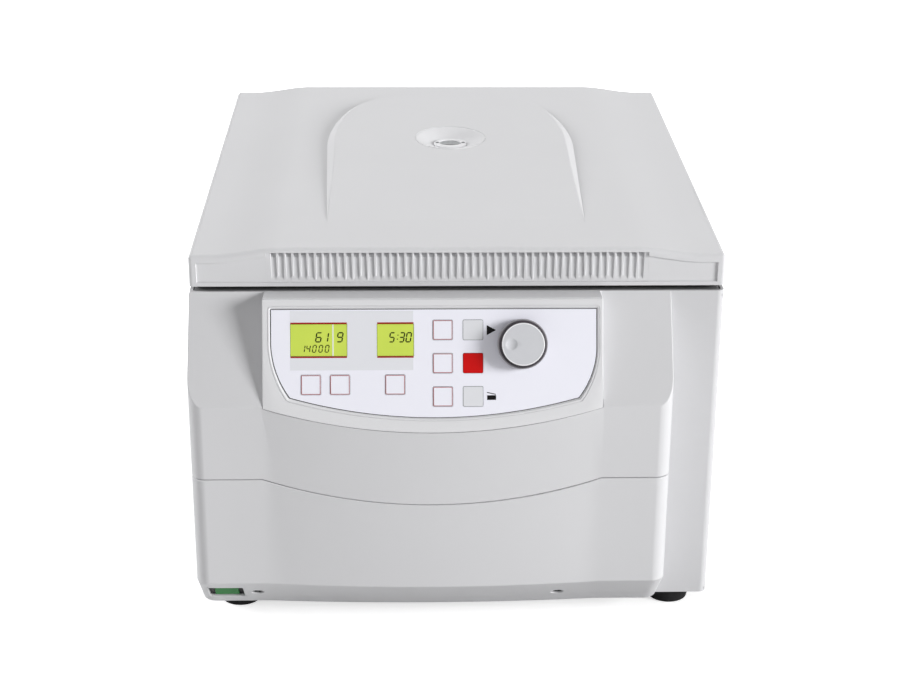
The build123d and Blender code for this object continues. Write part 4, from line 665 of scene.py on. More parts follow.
@dataclass(frozen=True)
class Finish:
    """One finish of the object. Subclasses add what their material shows.

    Attributes:
        name: Name of the material.
        slot: The record's material slot. It is not used.
        colour: Base colour as 0 to 255 values.
        gloss: Roughness of the surface.
        spread: How far the roughness drifts.
        drift: How far the tone drifts.
        grain: Grains per metre.
        relief: Depth of the grain in millimetres.
        worn: Share of the outer edges that is rubbed light.
        specular: Specular level.
        metallic: Metallic share.
    """

    name: str
    slot: str
    colour: tuple[int, int, int]
    gloss: float = 0.42
    spread: float = 0.05
    drift: float = 0.015
    grain: float = 1400.0
    relief: float = 0.02
    worn: float = 0.25
    specular: float = 0.15
    metallic: float = 0.0

    @property
    def base(self) -> Full:
        """The base colour as shaders take it."""
        return (*shade(*self.colour), 1)

    def tint(self, share: float) -> Full:
        """The base colour times a share, and no brighter than full."""
        return (*(min(1.0, level * share) for level in self.base[:3]), 1)

    def material(self) -> bpy.types.Material:
        """The finish's material, made the first time that it is asked for.

        Returns:
            The material.
        """
        title = f"{self.name}_look"
        found = bpy.data.materials.get(title)
        if found:
            return found
        made = bpy.data.materials.new(title)
        made.use_nodes = True
        shader = made.node_tree.nodes["Principled BSDF"]
        shader.inputs["Specular IOR Level"].default_value = self.specular
        shader.inputs["Metallic"].default_value = self.metallic
        made.diffuse_color = self.base
        self.wire_up(Wiring(made.node_tree), shader)
        return made

    def drifted(self, wire: Wiring, colour: object) -> bpy.types.Node:
        """Add the slow change of tone and gloss on top of a colour."""
        values = {"Colour": colour, "Amount": self.drift, "Gloss": self.gloss, "Spread": self.spread}
        return wire.add("Group", values, node_tree=GROUPS["drift"])

    def grained(self, wire: Wiring) -> bpy.types.NodeSocket:
        """Add the fine grain and return its height."""
        return wire.add("Group", {0: self.grain}, node_tree=GROUPS["grain"]).outputs["Height"]

    def feed(
        self, wire: Wiring, shader: bpy.types.Node, colour: object, gloss: object, height: object = None
    ) -> None:
        """Feed colour, gloss and relief into the shader.

        Args:
            wire: Wiring of the material's nodes.
            shader: The material's shader.
            colour: Socket with the colour.
            gloss: Socket with the roughness.
            height: Socket with the height of the relief. None leaves the surface smooth.
        """
        wire.tree.links.new(colour, shader.inputs["Base Color"])
        wire.tree.links.new(gloss, shader.inputs["Roughness"])
        if height is not None:
            depth = {"Height": height, "Strength": 1.0, "Distance": self.relief * MM}
            wire.tree.links.new(wire.add("Bump", depth).outputs[0], shader.inputs["Normal"])

    def wire_up(self, wire: Wiring, shader: bpy.types.Node) -> None:
        """Wire the plain moulded look: drift, rubbed edges and fine grain.

        Args:
            wire: Wiring of the material's nodes.
            shader: The material's shader.
        """
        drift = self.drifted(wire, self.base)
        edges = {0: drift.outputs["Colour"], 1: self.tint(1.12), 2: self.worn}
        wear = wire.add("Group", edges, node_tree=GROUPS["wear"])
        self.feed(wire, shader, wear.outputs["Colour"], drift.outputs["Roughness"], self.grained(wire))


@dataclass(frozen=True)
class LinedMetal(Finish):
    """Metal whose tone and relief follow the lines that its making left.

    Attributes:
        pattern: Node group that draws the lines.
        dark: Tone of the dark lines, as a share of the base colour.
    """

    pattern: str = "brushed"
    dark: float = 0.86

    def line_place(self, wire: Wiring) -> bpy.types.NodeSocket:
        """The coordinates that the lines are drawn in."""
        return wire.place()

    def wire_up(self, wire: Wiring, shader: bpy.types.Node) -> None:
        """Wire the lines into tone and relief.

        Args:
            wire: Wiring of the material's nodes.
            shader: The material's shader.
        """
        group = wire.add("Group", {0: self.line_place(wire)}, node_tree=GROUPS[self.pattern])
        lines = group.outputs["Lines"]
        drift = self.drifted(wire, wire.blend(lines, self.tint(self.dark), self.base))
        self.feed(wire, shader, drift.outputs["Colour"], drift.outputs["Roughness"], lines)


@dataclass(frozen=True)
class BrushedMetal(LinedMetal):
    """Sheet steel with straight brush lines."""

    metallic: float = 0.7
    relief: float = 0.0012
    gloss: float = 0.36


@dataclass(frozen=True)
class TurnedMetal(LinedMetal):
    """Lathe-turned metal with rings round the rotor's axis.

    Attributes:
        axis_y: Place of the rotor's axis in millimetres.
    """

    metallic: float = 0.75
    relief: float = 0.0015
    gloss: float = 0.32
    pattern: str = "turned"
    dark: float = 0.84
    axis_y: float = 66.0

    def line_place(self, wire: Wiring) -> bpy.types.NodeSocket:
        """The coordinates, counted from the rotor's axis."""
        shift = {"Vector": wire.place(), "Location": (0, -self.axis_y * MM, 0)}
        return wire.add("Mapping", shift).outputs[0]


@dataclass(frozen=True)
class ClearGlass(Finish):
    """Clear window with faint smears.

    Attributes:
        bend: Index of refraction.
    """

    bend: float = 1.49

    def wire_up(self, wire: Wiring, shader: bpy.types.Node) -> None:
        """Wire a clear, smooth body whose tone and gloss drift a little.

        Args:
            wire: Wiring of the material's nodes.
            shader: The material's shader.
        """
        drift = self.drifted(wire, self.base)
        shader.inputs["Transmission Weight"].default_value = 1.0
        shader.inputs["IOR"].default_value = self.bend
        self.feed(wire, shader, drift.outputs["Colour"], drift.outputs["Roughness"])


@dataclass(frozen=True)
class CircuitBoard(Finish):
    """Lacquered board with a faint pattern of tracks.

    Attributes:
        light: Tone of the tracks, as a share of the base colour.
    """

    light: float = 1.9

    def wire_up(self, wire: Wiring, shader: bpy.types.Node) -> None:
        """Wire tracks as thin lighter lines in the lacquer.

        Args:
            wire: Wiring of the material's nodes.
            shader: The material's shader.
        """
        tracks = wire.add("TexBrick", {"Vector": wire.place(), "Scale": 110.0, "Mortar Size": 0.03})
        drift = self.drifted(wire, wire.blend(tracks.outputs["Fac"], self.base, self.tint(self.light)))
        self.feed(wire, shader, drift.outputs["Colour"], drift.outputs["Roughness"], self.grained(wire))


@dataclass(frozen=True)
class Backlit(Finish):
    """Liquid crystal display with its even light behind it.

    Attributes:
        glow: Strength of the light.
        deep: Deepest tone, as shares of the base colour's red, green and blue.
    """

    glow: float = 0.2
    deep: Colour = (0.72, 0.86, 0.8)

    def wire_up(self, wire: Wiring, shader: bpy.types.Node) -> None:
        """Wire the display's tone, which deepens slowly here and there, and its light.

        Args:
            wire: Wiring of the material's nodes.
            shader: The material's shader.
        """
        cloud = wire.noise(wire.place(), 45.0, 1.0)
        deep = (*(level * share for level, share in zip(self.base, self.deep)), 1)
        toned = wire.blend(wire.maths("MULTIPLY", cloud, 0.6), self.base, deep)
        drift = self.drifted(wire, self.base)
        self.feed(wire, shader, toned, drift.outputs["Roughness"], self.grained(wire))
        wire.tree.links.new(toned, shader.inputs["Emission Color"])
        shader.inputs["Emission Strength"].default_value = self.glow


COVER = Finish("cover_plastic", "cover_plastic", (212, 212, 214), gloss=0.40, worn=0.04)
BEZEL = Finish("bezel_plastic", "cover_plastic", (224, 224, 226), gloss=0.36, worn=0.04)
LID = Finish("lid_plastic", "cover_plastic", (216, 216, 218), gloss=0.38, drift=0.02, worn=0.04)
DISH = Finish("dish_plastic", "cover_plastic", (226, 226, 228), gloss=0.42, drift=0.02, worn=0.0)
# Grey of the upper band of the port's well wall: painted shade, lighter than the black band below it.
WELL_SHADE_GREY = Finish("well_shade_grey", "cover_plastic", (128, 128, 132), gloss=0.4, worn=0.0)
RING = Finish("ring_plastic", "cover_plastic", (240, 240, 242), gloss=0.24, drift=0.02, worn=0.0)
HOUSING = Finish(
    "housing_paint", "housing_paint", (206, 206, 208), gloss=0.36, grain=520.0, relief=0.03, worn=0.04
)
FILM = Finish(
    "membrane_print", "membrane_print", (243, 243, 252), gloss=0.3, spread=0.03, relief=0.006, worn=0.0
)
PRINT_GREY = Finish("print_grey", "membrane_print", (230, 231, 236), gloss=0.3, relief=0.006, worn=0.0)
PRINT_RED = Finish("print_red", "key_red", (160, 40, 34), gloss=0.3, relief=0.006, worn=0.0)
PRINT_BLACK = Finish(
    "print_black", "membrane_print", (16, 14, 16), gloss=0.45, specular=0.1, relief=0.006, worn=0.0
)
PRINT_WHITE = Finish("print_white", "display", (236, 240, 226), gloss=0.3, relief=0.006, worn=0.0)
KEY_GREY = Finish("key_grey", "key_grey", (226, 227, 231), gloss=0.3, relief=0.006, worn=0.0)
KEY_RED = Finish("key_red", "key_red", (206, 20, 20), gloss=0.4, specular=0.12, relief=0.006, worn=0.0)
SCREEN = Backlit("display", "display", (197, 211, 86), gloss=0.2, relief=0.002, worn=0.0, drift=0.02)
DIGITS = Finish("display_digits", "display", (20, 34, 8), gloss=0.4, specular=0.1, relief=0.002, worn=0.0)
KNOB_FACE = Finish("knob_grey", "knob_grey", (207, 208, 212), gloss=0.42, grain=900.0, relief=0.01)
KNOB_SIDE = Finish("knob_dark", "knob_dark", (150, 148, 152), gloss=0.3)
# Dark band between the knob's skirt and face: painted shade of the groove there.
KNOB_GROOVE_SHADE = Finish("knob_groove_shade", "knob_dark", (66, 62, 67), gloss=0.42, specular=0.2)
# Near-white ring round the knob's face: a painted highlight all round its rim.
KNOB_RIM_HIGHLIGHT = Finish("knob_highlight_rim", "knob_grey", (240, 240, 242), gloss=0.2, worn=0.0)
BLACK = Finish("switch_black", "switch_black", (18, 18, 20), gloss=0.45, worn=0.1, specular=0.2)
GREEN = Finish(
    "switch_green", "switch_green", (30, 122, 52), gloss=0.3, relief=0.008, specular=0.25, drift=0.05
)
RUBBER = Finish(
    "rubber_black", "rubber_black", (34, 34, 35), gloss=0.72, spread=0.1, grain=700.0, relief=0.06
)
STEEL = BrushedMetal("steel_plate", "steel_plate", (205, 205, 206))
ZINC = BrushedMetal("zinc_steel", "zinc_steel", (184, 186, 188), gloss=0.38, drift=0.06)
DARK_STEEL = BrushedMetal("dark_steel", "zinc_steel", (70, 72, 76), gloss=0.34)
ALLOY = TurnedMetal("rotor_alloy", "rotor_alloy", (150, 152, 156), gloss=0.34)
BOWL_STEEL = TurnedMetal("bowl_steel", "steel_plate", (205, 205, 206), gloss=0.24)
MOTOR = Finish("motor_paint", "motor_paint", (52, 53, 56), gloss=0.4, grain=600.0, relief=0.05, worn=0.6)
BOARD = CircuitBoard("board_green", "board_green", (28, 92, 52), gloss=0.3)
WINDOW = ClearGlass("window_glass", "window_glass", (232, 238, 240), gloss=0.04, spread=0.03)


def hand_over(
    piece: Object, body: Body | str, finish: Finish, stands_for: Sequence[str] = (), angle: float = 30.0
) -> None:
    """Shade and dress a finished piece, and let it ride on its body.

    Args:
        piece: The finished mesh.
        body: The frame body that it moves with.
        finish: What it is made of.
        stands_for: Frame nodes that it replaces.
        angle: Faces that meet at less than this are shaded as one curve.
    """
    smooth(piece, angle)
    finish_with(piece, "WEIGHTED_NORMAL", keep_sharp=True)
    piece.data.materials.clear()
    piece.data.materials.append(finish.material())
    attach(piece, body.value if isinstance(body, Body) else body)
    if stands_for:
        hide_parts(*stands_for)
    LOG.info("%s: %d faces, finish %s", piece.name, len(piece.data.polygons), finish.name)


@dataclass(frozen=True)
class Skin:
    """Copy of a frame node with rounded edges, which takes the node's place.

    Attributes:
        node: Name of the frame node.
        finish: What it is made of.
        radius: Edge radius in millimetres. 0 leaves the edges as they are.
        body: The frame body that it moves with.
        segments: Faces across a rounded edge.
        angle: Edges sharper than this many degrees are rounded.
    """

    node: str
    finish: Finish
    radius: float
    body: Body | str = Body.BASE
    segments: int = 2
    angle: float = 30.0

    def build(self) -> None:
        """Make and dress the copy."""
        copy = rounded_copy(self.node, self.radius, self.segments, self.angle)
        hand_over(copy, self.body, self.finish, [self.node])


def tilted_frame(origin: Point, up: Vector, out: Vector) -> Matrix:
    """The place of a flat frame: X to the right, Y along up, Z along out.

    Args:
        origin: The frame's origin in millimetres.
        up: Direction of its Y.
        out: Direction of its Z.

    Returns:
        The frame's place.
    """
    across = up.cross(out)
    turn = Matrix((across, up, out)).transposed().to_4x4()
    return Matrix.Translation(Vector(origin) * MM) @ turn


TILT = math.radians(18.5)
CONSOLE_TOP = (0, -221.4, 287.5)
CONSOLE = tilted_frame(
    CONSOLE_TOP,
    Vector((0, math.sin(TILT), math.cos(TILT))),
    Vector((0, -math.cos(TILT), math.sin(TILT))),
)


@dataclass
class Lid:
    """The hinged lid: wedge shell, front grille, raised field and viewing port.

    Attributes:
        half_w: Half of the lid's width.
        front_y: Front face.
        rear_y: Rear face.
        bottom_z: Lower edge.
        front_h: Height of the front face in the middle.
        wing_drop: How far the top falls towards its sides.
        wing_span: Width that it falls over.
        wing_straight: Share of the fall that is a straight slope.
        slope: Rise of the top towards the rear, in degrees.
        crease_x: Where the fall starts.
        wing_steps: Lines along which the top is bent.
        corner_r: Radius of the upright corners.
        roll: Radius of the top's rolled edge.
        wall: Wall thickness.
        rim: Width of the rim round the front face.
        rim_bevel: Width of the step inside the rim.
        recess: How far the front face lies back inside its rim.
        port_r: Radius of the port's opening.
        port_y: Place of the port's middle.
        port_rim_z: Height of the dish's rim, before it is tipped.
        dish_depth: Depth of the dish.
        dish_steps: For the radius of each ring of the dish, the share of the slope that it takes.
        bore_r: Radius of the well below the glass.
        sleeve_r: Outer radius of the well's wall.
        sleeve_h: Height of the upper, grey part of the well's wall, which with the black part below paints
            the shade deepening down the well.
        well_low: Lower end of the well.
        glass_r: Radius of the glass.
        glass_t: Thickness of the glass.
        screw_x: Place of the ring's two screws, from its middle.
        field_front_y: Front end of the raised field.
        field_sink: How far the field's front edge is sunk.
        grille_half: Half of the grille's width.
        grille_low: Lower edge of the grille.
        grille_high: Upper edge of the grille.
        slots: Number of scoops.
        pitch: Distance from scoop to scoop.
        rib: Width of the rib between two scoops.
        scoop_depth: Depth of a scoop at its top.
        vent_h: Height of the opening at a scoop's top.
        seam: Gap between the grille and the shell.
        skins: Pieces that are rounded copies.
    """

    half_w: float = 215.0
    front_y: float = -197.0
    rear_y: float = 255.0
    bottom_z: float = 290.5
    front_h: float = 31.7
    wing_drop: float = 5.9
    wing_span: float = 52.0
    wing_straight: float = 0.25
    slope: float = 4.5
    crease_x: float = 143.0
    wing_steps: tuple[float, ...] = (143.0, 150.0, 157.0, 164.0, 172.0, 182.0, 194.0)
    corner_r: float = 3.0
    roll: float = 3.4
    wall: float = 3.0
    rim: float = 3.0
    rim_bevel: float = 0.5
    recess: float = 1.4
    port_r: float = 32.5
    port_y: float = 66.0
    port_rim_z: float = 348.9
    dish_depth: float = 6.6
    dish_steps: dict[float, float] = field(
        default_factory=lambda: {20: 0.2, 24: 0.5, 28: 0.8, 30.6: 0.95, 31.8: 1.0, 32.45: 1.0}
    )
    bore_r: float = 9.92
    sleeve_r: float = 12.1
    sleeve_h: float = 3.6
    well_low: float = 293.0
    glass_r: float = 9.9
    glass_t: float = 1.2
    screw_x: float = 12.0
    field_front_y: float = -142.0
    field_sink: float = 0.45
    grille_half: float = 153.0
    grille_low: float = 293.7
    grille_high: float = 318.4
    slots: int = 50
    pitch: float = 6.0
    rib: float = 2.0
    scoop_depth: float = 4.2
    vent_h: float = 2.6
    seam: float = 0.04
    skins: tuple[Skin, ...] = (
        Skin("lid_inner_plate", STEEL, 0.3, Body.LID),
        Skin("lid_edge_seal", RUBBER, 0.0, Body.LID),
        Skin("strikers", ZINC, 0.6, Body.LID),
        Skin("lid_hinge_arms", ZINC, 0.4, Body.LID),
    )

    @property
    def rise(self) -> float:
        """How much higher the top is at the rear than at the front."""
        return (self.rear_y - self.front_y) * math.tan(math.radians(self.slope))

    @property
    def dish_z(self) -> float:
        """Height of the dish's floor."""
        return self.port_rim_z - self.dish_depth

    def wing_fall(self, x: float) -> float:
        """How far the top has fallen at a distance from the middle: an S from crease to side.

        Args:
            x: Distance from the middle.

        Returns:
            The fall.
        """
        share = min(max((abs(x) - self.crease_x) / self.wing_span, 0.0), 1.0)
        eased = share * share * (3 - 2 * share)
        return self.wing_drop * (self.wing_straight * share + (1 - self.wing_straight) * eased)

    def outer(self) -> Object:
        """Shape the closed outer form of the wedge from a box.

        Returns:
            The wedge.
        """
        top = self.bottom_z + self.front_h
        lid = block(
            "lid_wedge", (-self.half_w, self.front_y, self.bottom_z), (self.half_w, self.rear_y, top)
        )
        with editing(lid):
            for side in (-1, 1):
                for x in self.wing_steps:
                    bpy.ops.mesh.select_all(action="SELECT")
                    bpy.ops.mesh.bisect(plane_co=(side * x * MM, 0, 0), plane_no=(1, 0, 0))
            pick_points(lid, lambda p: p.z > top - 1 and p.y > 0)
            bpy.ops.transform.translate(value=(0, 0, self.rise * MM))
            for x in (*self.wing_steps[1:], self.half_w):
                pick_points(lid, lambda p, x=x: p.z > top - 1 and abs(abs(p.x) - x) < 0.5)
                bpy.ops.transform.translate(value=(0, 0, -self.wing_fall(x) * MM))
            pick_edges(
                lid,
                lambda a, b: abs(a.x - b.x) < 0.1
                and abs(a.y - b.y) < 0.1
                and abs(abs(a.x) - self.half_w) < 0.1,
            )
            bpy.ops.mesh.bevel(offset=self.corner_r * MM, segments=6, affect="EDGES")
            pick_faces(lid, lambda c, n: n.z > 0.5)
            bpy.ops.mesh.region_to_loop()
            bpy.ops.mesh.bevel(offset=self.roll * MM, segments=5, affect="EDGES")
            pick_faces(lid, lambda c, n: n.y < -0.9999)
            bpy.ops.mesh.inset(thickness=self.rim * MM, depth=0)
            bpy.ops.mesh.inset(thickness=self.rim_bevel * MM, depth=-self.recess * MM)
        return lid

    def shell(self) -> None:
        """Hollow the wedge, then open its port and its grille."""
        lid = self.outer()
        roof = self.bottom_z + self.front_h - self.wing_drop - self.wall
        hollow = block(
            "hollow_cutter",
            (self.wall - self.half_w, self.front_y + self.wall + self.recess, self.bottom_z - 5),
            (self.half_w - self.wall, self.rear_y - self.wall, roof),
        )
        with editing(hollow):
            pick_points(hollow, lambda p: p.z > roof - 1 and p.y > 0)
            bpy.ops.transform.translate(value=(0, 0, self.rise * MM))
        cut(lid, hollow)
        cut(lid, rod("port_cutter", self.port_r, (0, self.port_y, self.bottom_z + 3), 100, 96))
        front = self.front_y
        cut(
            lid,
            block(
                "grille_cutter",
                (-self.grille_half, front - 5, self.grille_low),
                (self.grille_half, front + self.wall + 3, self.grille_high),
            ),
        )
        hand_over(lid, Body.LID, LID, ["lid_shell"], angle=32)

    def grille(self) -> None:
        """Cut a row of scoops into the front, deepest and open at their tops."""
        y = self.front_y + self.recess
        seam = self.seam
        plate = block(
            "lid_grille_ribs",
            (-self.grille_half + seam, y, self.grille_low + seam),
            (self.grille_half - seam, y + self.scoop_depth + 2, self.grille_high - seam),
        )
        low = self.grille_low + 0.4
        high = self.grille_high - 0.5
        gap = self.pitch - self.rib
        start = -(self.slots - 1) / 2 * self.pitch - gap / 2
        scoop = trace(
            "scoop_cutter",
            [
                (start, y - 0.4, low),
                (start, y - 0.4, high),
                (start, y + self.scoop_depth, high),
                (start, y + self.scoop_depth * 0.32, high - 4.0),
                (start, y + self.scoop_depth * 0.22, low + 4),
            ],
        )
        thicken(scoop, (gap, 0, 0))
        row_of(scoop, self.slots, (self.pitch, 0, 0))
        cut(plate, scoop)
        vent = block(
            "vent_cutter",
            (start + 0.4, y + self.scoop_depth - 1, high - self.vent_h),
            (start + gap - 0.4, y + self.scoop_depth + 4, high - 0.3),
        )
        row_of(vent, self.slots, (self.pitch, 0, 0))
        cut(plate, vent)
        half = self.grille_half - 1
        with editing(plate):
            pick_edges(
                plate,
                lambda a, b: max(abs(a.x), abs(b.x)) < half
                and max(a.y, b.y) < y + 0.2
                and min(a.z, b.z) > low - 0.2
                and abs(a.z - b.z) > 5,
            )
            bpy.ops.mesh.bevel(offset=0.55 * MM, segments=3, affect="EDGES")
        hand_over(plate, Body.LID, LID, ["lid_grille"])

    def tip_rings(self, piece: Object, centre: Point, shares: dict[float, float]) -> None:
        """Tip the outer rings of a turned piece so that they follow the lid's slope.

        Args:
            piece: The turned piece.
            centre: Point that the rings tip about.
            shares: For each ring's radius, the share of the slope that it takes.
        """
        reach, below = 0.02, 3
        with editing(piece):
            for radius, share in shares.items():
                pick_points(
                    piece,
                    lambda p, r=radius: abs(math.hypot(p.x, p.y - self.port_y) - r) < reach
                    and p.z > centre[2] - below,
                )
                bpy.ops.transform.rotate(
                    value=-math.radians(self.slope) * share,
                    orient_axis="X",
                    center_override=[v * MM for v in centre],
                )

    def port(self) -> None:
        """Turn the dish, the well's wall below it, the clamp ring with its screws and the glass."""
        centre = (0, self.port_y, 0)
        rim_z = self.port_rim_z
        floor = self.dish_z
        collar = [
            (12.2, floor - 3.0),
            (15.4, floor - 3.0),
            (15.4, floor - 0.3),
            (15.8, floor + 0.05),
            (20, floor + 1.4),
            (24, floor + 3.0),
            (28, floor + 4.9),
            (30.6, floor + 6.1),
            (31.8, rim_z - 0.3),
            (32.45, rim_z - 0.25),
            (32.44, rim_z - 7),
            (17.2, floor - 3.9),
            (17.21, self.well_low),
            (12.2, self.well_low),
        ]
        dish = lathe("port_dish", collar, centre)
        self.tip_rings(dish, (0, self.port_y, rim_z - 1), self.dish_steps)
        hand_over(dish, Body.LID, DISH, ["port_collar"], angle=40)
        # The well's wall is grey near the glass and black further down: painted shade that deepens down the
        # well.
        for name, top, low, finish in (
            ("port_well_upper_shade", floor + 0.1, floor - self.sleeve_h, WELL_SHADE_GREY),
            ("port_well_lower_shade", floor - self.sleeve_h, self.well_low, RUBBER),
        ):
            wall = [(self.bore_r, top), (self.sleeve_r, top), (self.sleeve_r, low), (self.bore_r, low)]
            hand_over(lathe(name, wall, centre), Body.LID, finish)
        ring = [
            (10.0, floor + 0.15),
            (10.0, floor + 1.3),
            (10.5, floor + 1.8),
            (14.5, floor + 1.8),
            (15.2, floor + 1.2),
            (15.2, floor - 2.9),
            (12.25, floor - 2.9),
            (12.25, floor + 0.15),
        ]
        hand_over(lathe("port_clamp_ring", ring, centre), Body.LID, RING, ["port_ring"])
        glass_z = floor + 1.4
        glass_low = glass_z - self.glass_t
        glass = [
            (0, glass_low),
            (self.glass_r, glass_low),
            (self.glass_r, glass_z - 0.2),
            (self.glass_r - 0.4, glass_z),
            (0, glass_z),
        ]
        hand_over(lathe("port_glass", glass, centre), Body.LID, WINDOW, ["port_window"])
        for side, end in ((-1, "left"), (1, "right")):
            self.port_screw(f"port_screw_{end}", side * self.screw_x)

    def port_screw(self, name: str, x: float) -> None:
        """Turn one of the clamp ring's screws and cut the cross into its head.

        Args:
            name: Name of the piece.
            x: Its place.
        """
        head = [(0, 0), (1.9, 0), (1.9, 0.5), (1.5, 0.85), (0, 0.95)]
        screw = lathe(name, head, steps=24)
        for half_x, half_y in ((0.25, 1.1), (1.1, 0.25)):
            cut(screw, block("screw_slot", (-half_x, -half_y, 0.4), (half_x, half_y, 2)))
        settle(screw, Matrix.Translation(Vector((x, self.port_y, self.dish_z + 1.2)) * MM))
        hand_over(screw, Body.LID, DARK_STEEL)

    def raised_field(self) -> None:
        """Round the raised field, and sink its front edge into the lid so that it fades out."""
        field_piece = rounded_copy("arch_panel", 0.8, 3, 14)
        with editing(field_piece):
            pick_points(field_piece, lambda p: p.y < self.field_front_y + 1.5)
            bpy.ops.transform.translate(value=(0, 0, -self.field_sink * MM))
        hand_over(field_piece, Body.LID, LID, ["arch_panel"])

    def build(self) -> None:
        """Build the whole lid."""
        self.shell()
        self.grille()
        self.raised_field()
        self.port()
        for skin in self.skins:
            skin.build()


@dataclass
class FrontCover:
    """The two moulded front shells, the power switch and the release pulls."""

    skins: tuple[Skin, ...] = (
        Skin("front_cover_lower", COVER, 1.0, segments=3, angle=20),
        Skin("front_cover_upper", COVER, 0.7, segments=3, angle=20),
        Skin("switch_body", BLACK, 0.0),
        Skin("power_rocker", GREEN, 0.5, Body.ROCKER),
        Skin("release_pull_left", BLACK, 0.3, "release_pull_left"),
        Skin("release_pull_right", BLACK, 0.3, "release_pull_right"),
    )

    def build(self) -> None:
        """Round the moulded edges and dress every piece of the front."""
        for skin in self.skins:
            skin.build()


@dataclass
class Console:
    """The console on its slope. Places are X and the distance down from the console's top edge.

    Attributes:
        membrane_z: Height of the membrane's face above the console's.
        key_z: Height of the keys' faces.
        screen_z: Height of the displays' faces.
        key_side: Side of a key.
        ink: Thickness of a print.
        line: Width of a printed outline.
        keys: Place of each key.
        screens: Place and width of each display.
        screen_down: Place of the displays' middle.
        screen_h: Height of the displays.
        knob_x: Place of the knob, across the console.
        knob_down: Place of the knob, down the console.
        knob_out: Gap between the knob and the console.
        knob_h: Height of the knob.
        dimple_r: Radius of the ball that the finger dimple fits.
        dimple_x: Place of that ball, from the knob's middle.
        dimple_up: Place of that ball, above the knob's face.
        pocket: Left and right side of the membrane.
        pocket_corner: Height of the membrane's upper corners, in the console's own frame.
        slant: Lean of the displays' figures.
        lit_z: Lower face of a lit segment, above the display's.
        lit_high: Upper face of a lit segment, above the display's.
        skins: Pieces that are rounded copies.
    """

    membrane_z: float = -0.2
    key_z: float = 0.1
    screen_z: float = -0.4
    key_side: float = 15.6
    ink: float = 0.06
    line: float = 0.45
    keys: dict[str, Pair] = field(
        default_factory=lambda: {
            "key_mode": (-116.8, 67.3),
            "key_ramp": (-93.9, 67.3),
            "key_time": (-50.3, 67.3),
            "key_program": (-12.6, 24.2),
            "key_store": (-12.6, 50.5),
            "key_pulse": (-12.6, 76.9),
            "key_start": (11.3, 24.2),
            "key_stop": (11.3, 50.5),
            "key_lid_open": (11.3, 76.9),
        }
    )
    screens: tuple[Pair, ...] = ((-110.5, 44.5), (-50.0, 28.7))
    screen_down: float = 32.0
    screen_h: float = 25.0
    knob_x: float = 50.4
    knob_down: float = 35.4
    knob_out: float = 0.6
    knob_h: float = 11.3
    dimple_r: float = 11.5
    dimple_x: float = -9.3
    dimple_up: float = 10.4
    pocket: Pair = (-148.0, 109.0)
    pocket_corner: float = -7.9
    slant: float = 0.16
    lit_z: float = 0.02
    lit_high: float = 0.07
    skins: tuple[Skin, ...] = (Skin("membrane", FILM, 0.15), Skin("lcd_modules", SCREEN, 0.1))

    def patch(self, name: str, left: float, right: float, top: float, low: float, z: float) -> Object:
        """A thin printed rectangle in the console's own frame.

        Args:
            name: Name of the new piece.
            left: Left end.
            right: Right end.
            top: Distance of its top from the console's top edge.
            low: Distance of its lower edge.
            z: Height of its underside.

        Returns:
            The patch.
        """
        patch = trace(name, [(left, -top, z), (left, -low, z), (right, -low, z), (right, -top, z)])
        thicken(patch, (0, 0, self.ink))
        return patch

    def prints(self) -> None:
        """Lay the printed field, bars and symbols on the membrane."""
        z = self.membrane_z
        grey = self.patch("printed_field", -133.0, -35.9, 8.9, 55.8, z)
        for x, width in self.screens:
            half = width / 2 + 0.3
            top = self.screen_down - self.screen_h / 2 - 0.3
            low = self.screen_down + self.screen_h / 2 + 0.3
            cut(grey, block("screen_cutter", (x - half, -low, -2), (x + half, -top, 2)))
        hand_over(settle(grey, CONSOLE), Body.BASE, PRINT_GREY)
        bars = []
        for x, width in self.screens:
            left, right = x - width / 2, x + width / 2
            above = self.screen_down - self.screen_h / 2 - 1.5
            below = self.screen_down + self.screen_h / 2 + 0.3
            for down in (above, below):
                bars.append(self.patch("bar", left, right, down, down + 1.2, z + self.ink))
        hand_over(settle(join(bars, "printed_bars"), CONSOLE), Body.BASE, PRINT_RED)
        play = trace("printed_play", [(22.2, -20.5, z), (22.2, -28.4, z), (29.6, -24.4, z)])
        thicken(play, (0, 0, self.ink))
        hand_over(settle(play, CONSOLE), Body.BASE, PRINT_BLACK)
        case = self.patch("case_symbol", 22.4, 29.5, 76.0, 79.7, z)
        flap = trace(
            "flap_symbol", [(22.2, -73.4, z), (22.4, -74.1, z), (29.2, -75.6, z), (29.3, -75.0, z)]
        )
        thicken(flap, (0, 0, self.ink))
        hand_over(settle(join([case, flap], "printed_open_symbol"), CONSOLE), Body.BASE, PRINT_BLACK)

    def key_caps(self) -> None:
        """Shape each key, with its printed outline where the real one has it."""
        half = self.key_side / 2
        coloured = {"key_stop": KEY_RED, "key_start": KEY_GREY, "key_lid_open": KEY_GREY}
        for name, (x, down) in self.keys.items():
            low = (x - half, -down - half, self.key_z - 2.4)
            cap = block(f"{name}_cap", low, (x + half, -down + half, self.key_z))
            with editing(cap):
                pick_edges(cap, lambda a, b: abs(a.z - b.z) > 1)
                bpy.ops.mesh.bevel(offset=1.0 * MM, segments=4, affect="EDGES")
            round_edges(cap, 0.2, angle=40)
            finish = coloured.get(name, FILM)
            hand_over(settle(cap, CONSOLE), name, finish, [name])
            if finish is FILM:
                self.key_outline(name, x, down)

